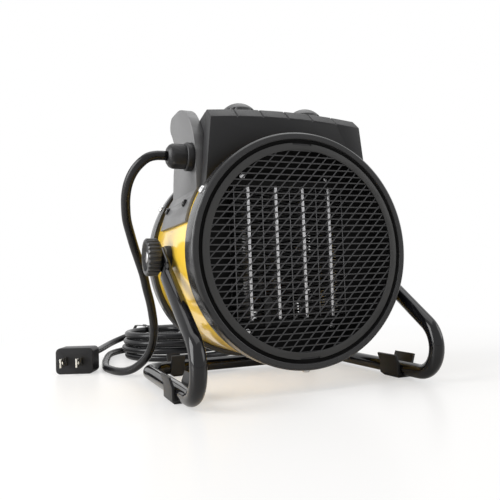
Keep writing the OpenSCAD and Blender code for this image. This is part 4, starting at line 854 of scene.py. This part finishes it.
def grip():
    """The carry handle: a straight moulded grip with shallow rings and rolled ends."""
    centre = on_drum(0, HANDLE_Y, HANDLE_Z)
    half, body_r, ring_pitch, rings, sides = BOX_HALF_W, 9.9, 5.2, 11, 48
    ring_dip = ((-0.9, 0), (-0.55, 0.5), (0, 0.7), (0.55, 0.5), (0.9, 0))
    rolled_end = ((0, 8.6), (0.5, 9.5), (1.4, 10))
    stations = [(-half + inset, r) for inset, r in rolled_end]
    for k in range(-rings, rings + 1):
        stations += [(ring_pitch * k + dx, body_r - dip) for dx, dip in ring_dip]
    stations += [(half - inset, r) for inset, r in reversed(rolled_end)]
    points, faces = [], []
    for x, r in stations:
        for k in range(sides):
            a = 2 * math.pi * k / sides
            points.append(centre + Vector((x, r * math.cos(a), r * math.sin(a))) * MM)
    for i in range(len(stations) - 1):
        for k in range(sides):
            m = (k + 1) % sides
            faces.append((i * sides + k, i * sides + m, (i + 1) * sides + m,
                          (i + 1) * sides + k))
    faces.append(tuple(range(sides))[::-1])
    faces.append(tuple(range((len(stations) - 1) * sides, len(stations) * sides)))
    mesh = mesh_of("grip", points, faces)
    fix_normals(mesh)
    return mesh


finish_piece(grip(), "carry_grip", "handle_black", "drum", ["carry_handle"], sharp=50)


def panel_point(x, y, lift):
    """A point lift above the crowned control panel."""
    crown_r = (BOX_HALF_W ** 2 + CROWN_RISE ** 2) / (2 * CROWN_RISE)
    fall = (y - PANEL_START) * math.tan(math.radians(PANEL_SLOPE))
    return on_drum(x, y, PANEL_TOP - fall - x * x / (2 * crown_r) + lift)


def dial_marks():
    """Plain printed ticks round both dials, a hair above the panel."""
    near, far, half_w, sunk, proud = 18.6, 21.2, 0.45, -0.1, 0.12
    points, faces = [], []
    for centre, angles in ((-DIAL_X, range(-135, 136, 27)), (DIAL_X, range(-68, 68, 45))):
        for degrees in angles:
            a = math.radians(degrees)
            out, side = Vector((math.sin(a), math.cos(a))), Vector((math.cos(a), -math.sin(a)))
            b = len(points)
            for lift in (sunk, proud):
                for r, w in ((near, -half_w), (far, -half_w), (far, half_w), (near, half_w)):
                    q = out * r + side * w
                    points.append(panel_point(centre + q.x, DIAL_Y - q.y, lift))
            faces += [(b, b + 3, b + 2, b + 1), (b + 4, b + 5, b + 6, b + 7)]
            faces += [(b + k, b + (k + 1) % 4, b + 4 + (k + 1) % 4, b + 4 + k)
                      for k in range(4)]
    mesh = mesh_of("dial_marks", points, faces)
    fix_normals(mesh)
    return mesh


finish_piece(dial_marks(), "dial_marks", "pale_plastic", "drum")


# Stand

PIVOT = (15.35, 118.2)
TUBE_X, TUBE_R = 106.0, 6.5
BEND = (-69.15, 32.5)
BEND_R, REAR_R = 24.0, 20.0
CROSSBAR_Y, FLOOR_Z = 88.35, 8.5
EYE_X, EYE_R, FLAT_HALF = 104.8, 9.5, 2.0
EYE_TIP = 0.6
FLAT_END, ROUND_START = 20.0, 34.0
SHORT_OF_BEND = 4
SQUARENESS = 0.35
# Stations of the tube, from beyond the eye down the arm, then back along the floor
BEFORE_EYE = [-9.5, -9.3, -8.8, -8, -6.8, -5, -2.5]
ALONG_ARM = [0, 5, 10, 15, 18, 20, 22, 24, 26, 28, 30, 32, 34, 44, 56, 68, 80, 92, 104]
ALONG_FLOOR = [-50, -20, 10, 35, 55]
ALONG_CROSSBAR = [60, 30]
FRONT_STEPS, REAR_STEPS = 26, 16


def stand_side():
    """Centreline of the right half, from just past the arm's eye almost to the crossbar's
    middle."""
    dy, dz = PIVOT[0] - BEND[0], PIVOT[1] - BEND[1]
    reach = math.hypot(dy, dz)
    start = math.atan2(dz, dy) + math.acos(BEND_R / reach)
    arm = math.sqrt(reach * reach - BEND_R * BEND_R)
    down = Vector((0, -math.sin(start), math.cos(start)))
    line = []
    for s in BEFORE_EYE + ALONG_ARM:
        x = EYE_X + (TUBE_X - EYE_X) * ease((s - FLAT_END) / (ROUND_START - FLAT_END))
        line.append(Vector((x, PIVOT[0], PIVOT[1])) + down * s)
    last = min(ALONG_ARM[-1], arm - SHORT_OF_BEND)
    line[-1] = Vector((TUBE_X, PIVOT[0], PIVOT[1])) + down * last
    for i in range(FRONT_STEPS + 1):
        a = start + (1.5 * math.pi - start) * i / FRONT_STEPS
        line.append(Vector((TUBE_X, BEND[0] + BEND_R * math.cos(a),
                            BEND[1] + BEND_R * math.sin(a))))
    line += [Vector((TUBE_X, y, FLOOR_Z)) for y in ALONG_FLOOR]
    for i in range(REAR_STEPS + 1):
        a = math.pi / 2 * i / REAR_STEPS
        line.append(Vector((TUBE_X - REAR_R + REAR_R * math.cos(a),
                            CROSSBAR_Y - REAR_R + REAR_R * math.sin(a), FLOOR_Z)))
    line += [Vector((x, CROSSBAR_Y, FLOOR_Z)) for x in ALONG_CROSSBAR]
    return line


def stand_tube():
    """The whole bent tube: round, but for the two arm ends that are pressed flat."""
    half = stand_side()
    line = half + [Vector((0, CROSSBAR_Y, FLOOR_Z))]
    line += [Vector((-p.x, p.y, p.z)) for p in reversed(half)]
    eye = Vector((0, PIVOT[0], PIVOT[1]))
    sides = 32

    def section(i, u, v):
        p = line[i]
        from_eye = math.hypot(p.y - eye.y, p.z - eye.z)
        place = min(i, len(line) - 1 - i)
        on_arm = place < len(BEFORE_EYE + ALONG_ARM)
        before = place < len(BEFORE_EYE)
        blend = 1.0
        tall = wide = TUBE_R
        if on_arm:
            s = -from_eye if before else from_eye
            blend = ease((s - FLAT_END) / (ROUND_START - FLAT_END))
            tall = EYE_R if s > 0 else math.sqrt(max(EYE_R ** 2 - s * s, EYE_TIP))
            tall += (TUBE_R - tall) * blend
            wide = FLAT_HALF + (TUBE_R - FLAT_HALF) * blend
        power = SQUARENESS + (1 - SQUARENESS) * blend
        ring = []
        for k in range(sides):
            c, d = math.cos(2 * math.pi * k / sides), math.sin(2 * math.pi * k / sides)
            a = math.copysign(abs(c) ** power, c) * tall
            b = math.copysign(abs(d) ** power, d) * wide
            ring.append((u * a + v * b) * MM)
        return ring

    return tube_mesh("stand_tube", [p * MM for p in line], section)


finish_piece(stand_tube(), "stand_tube", "stand_tube_black", "stand",
             ["stand_frame", "arm_ends"], sharp=50)
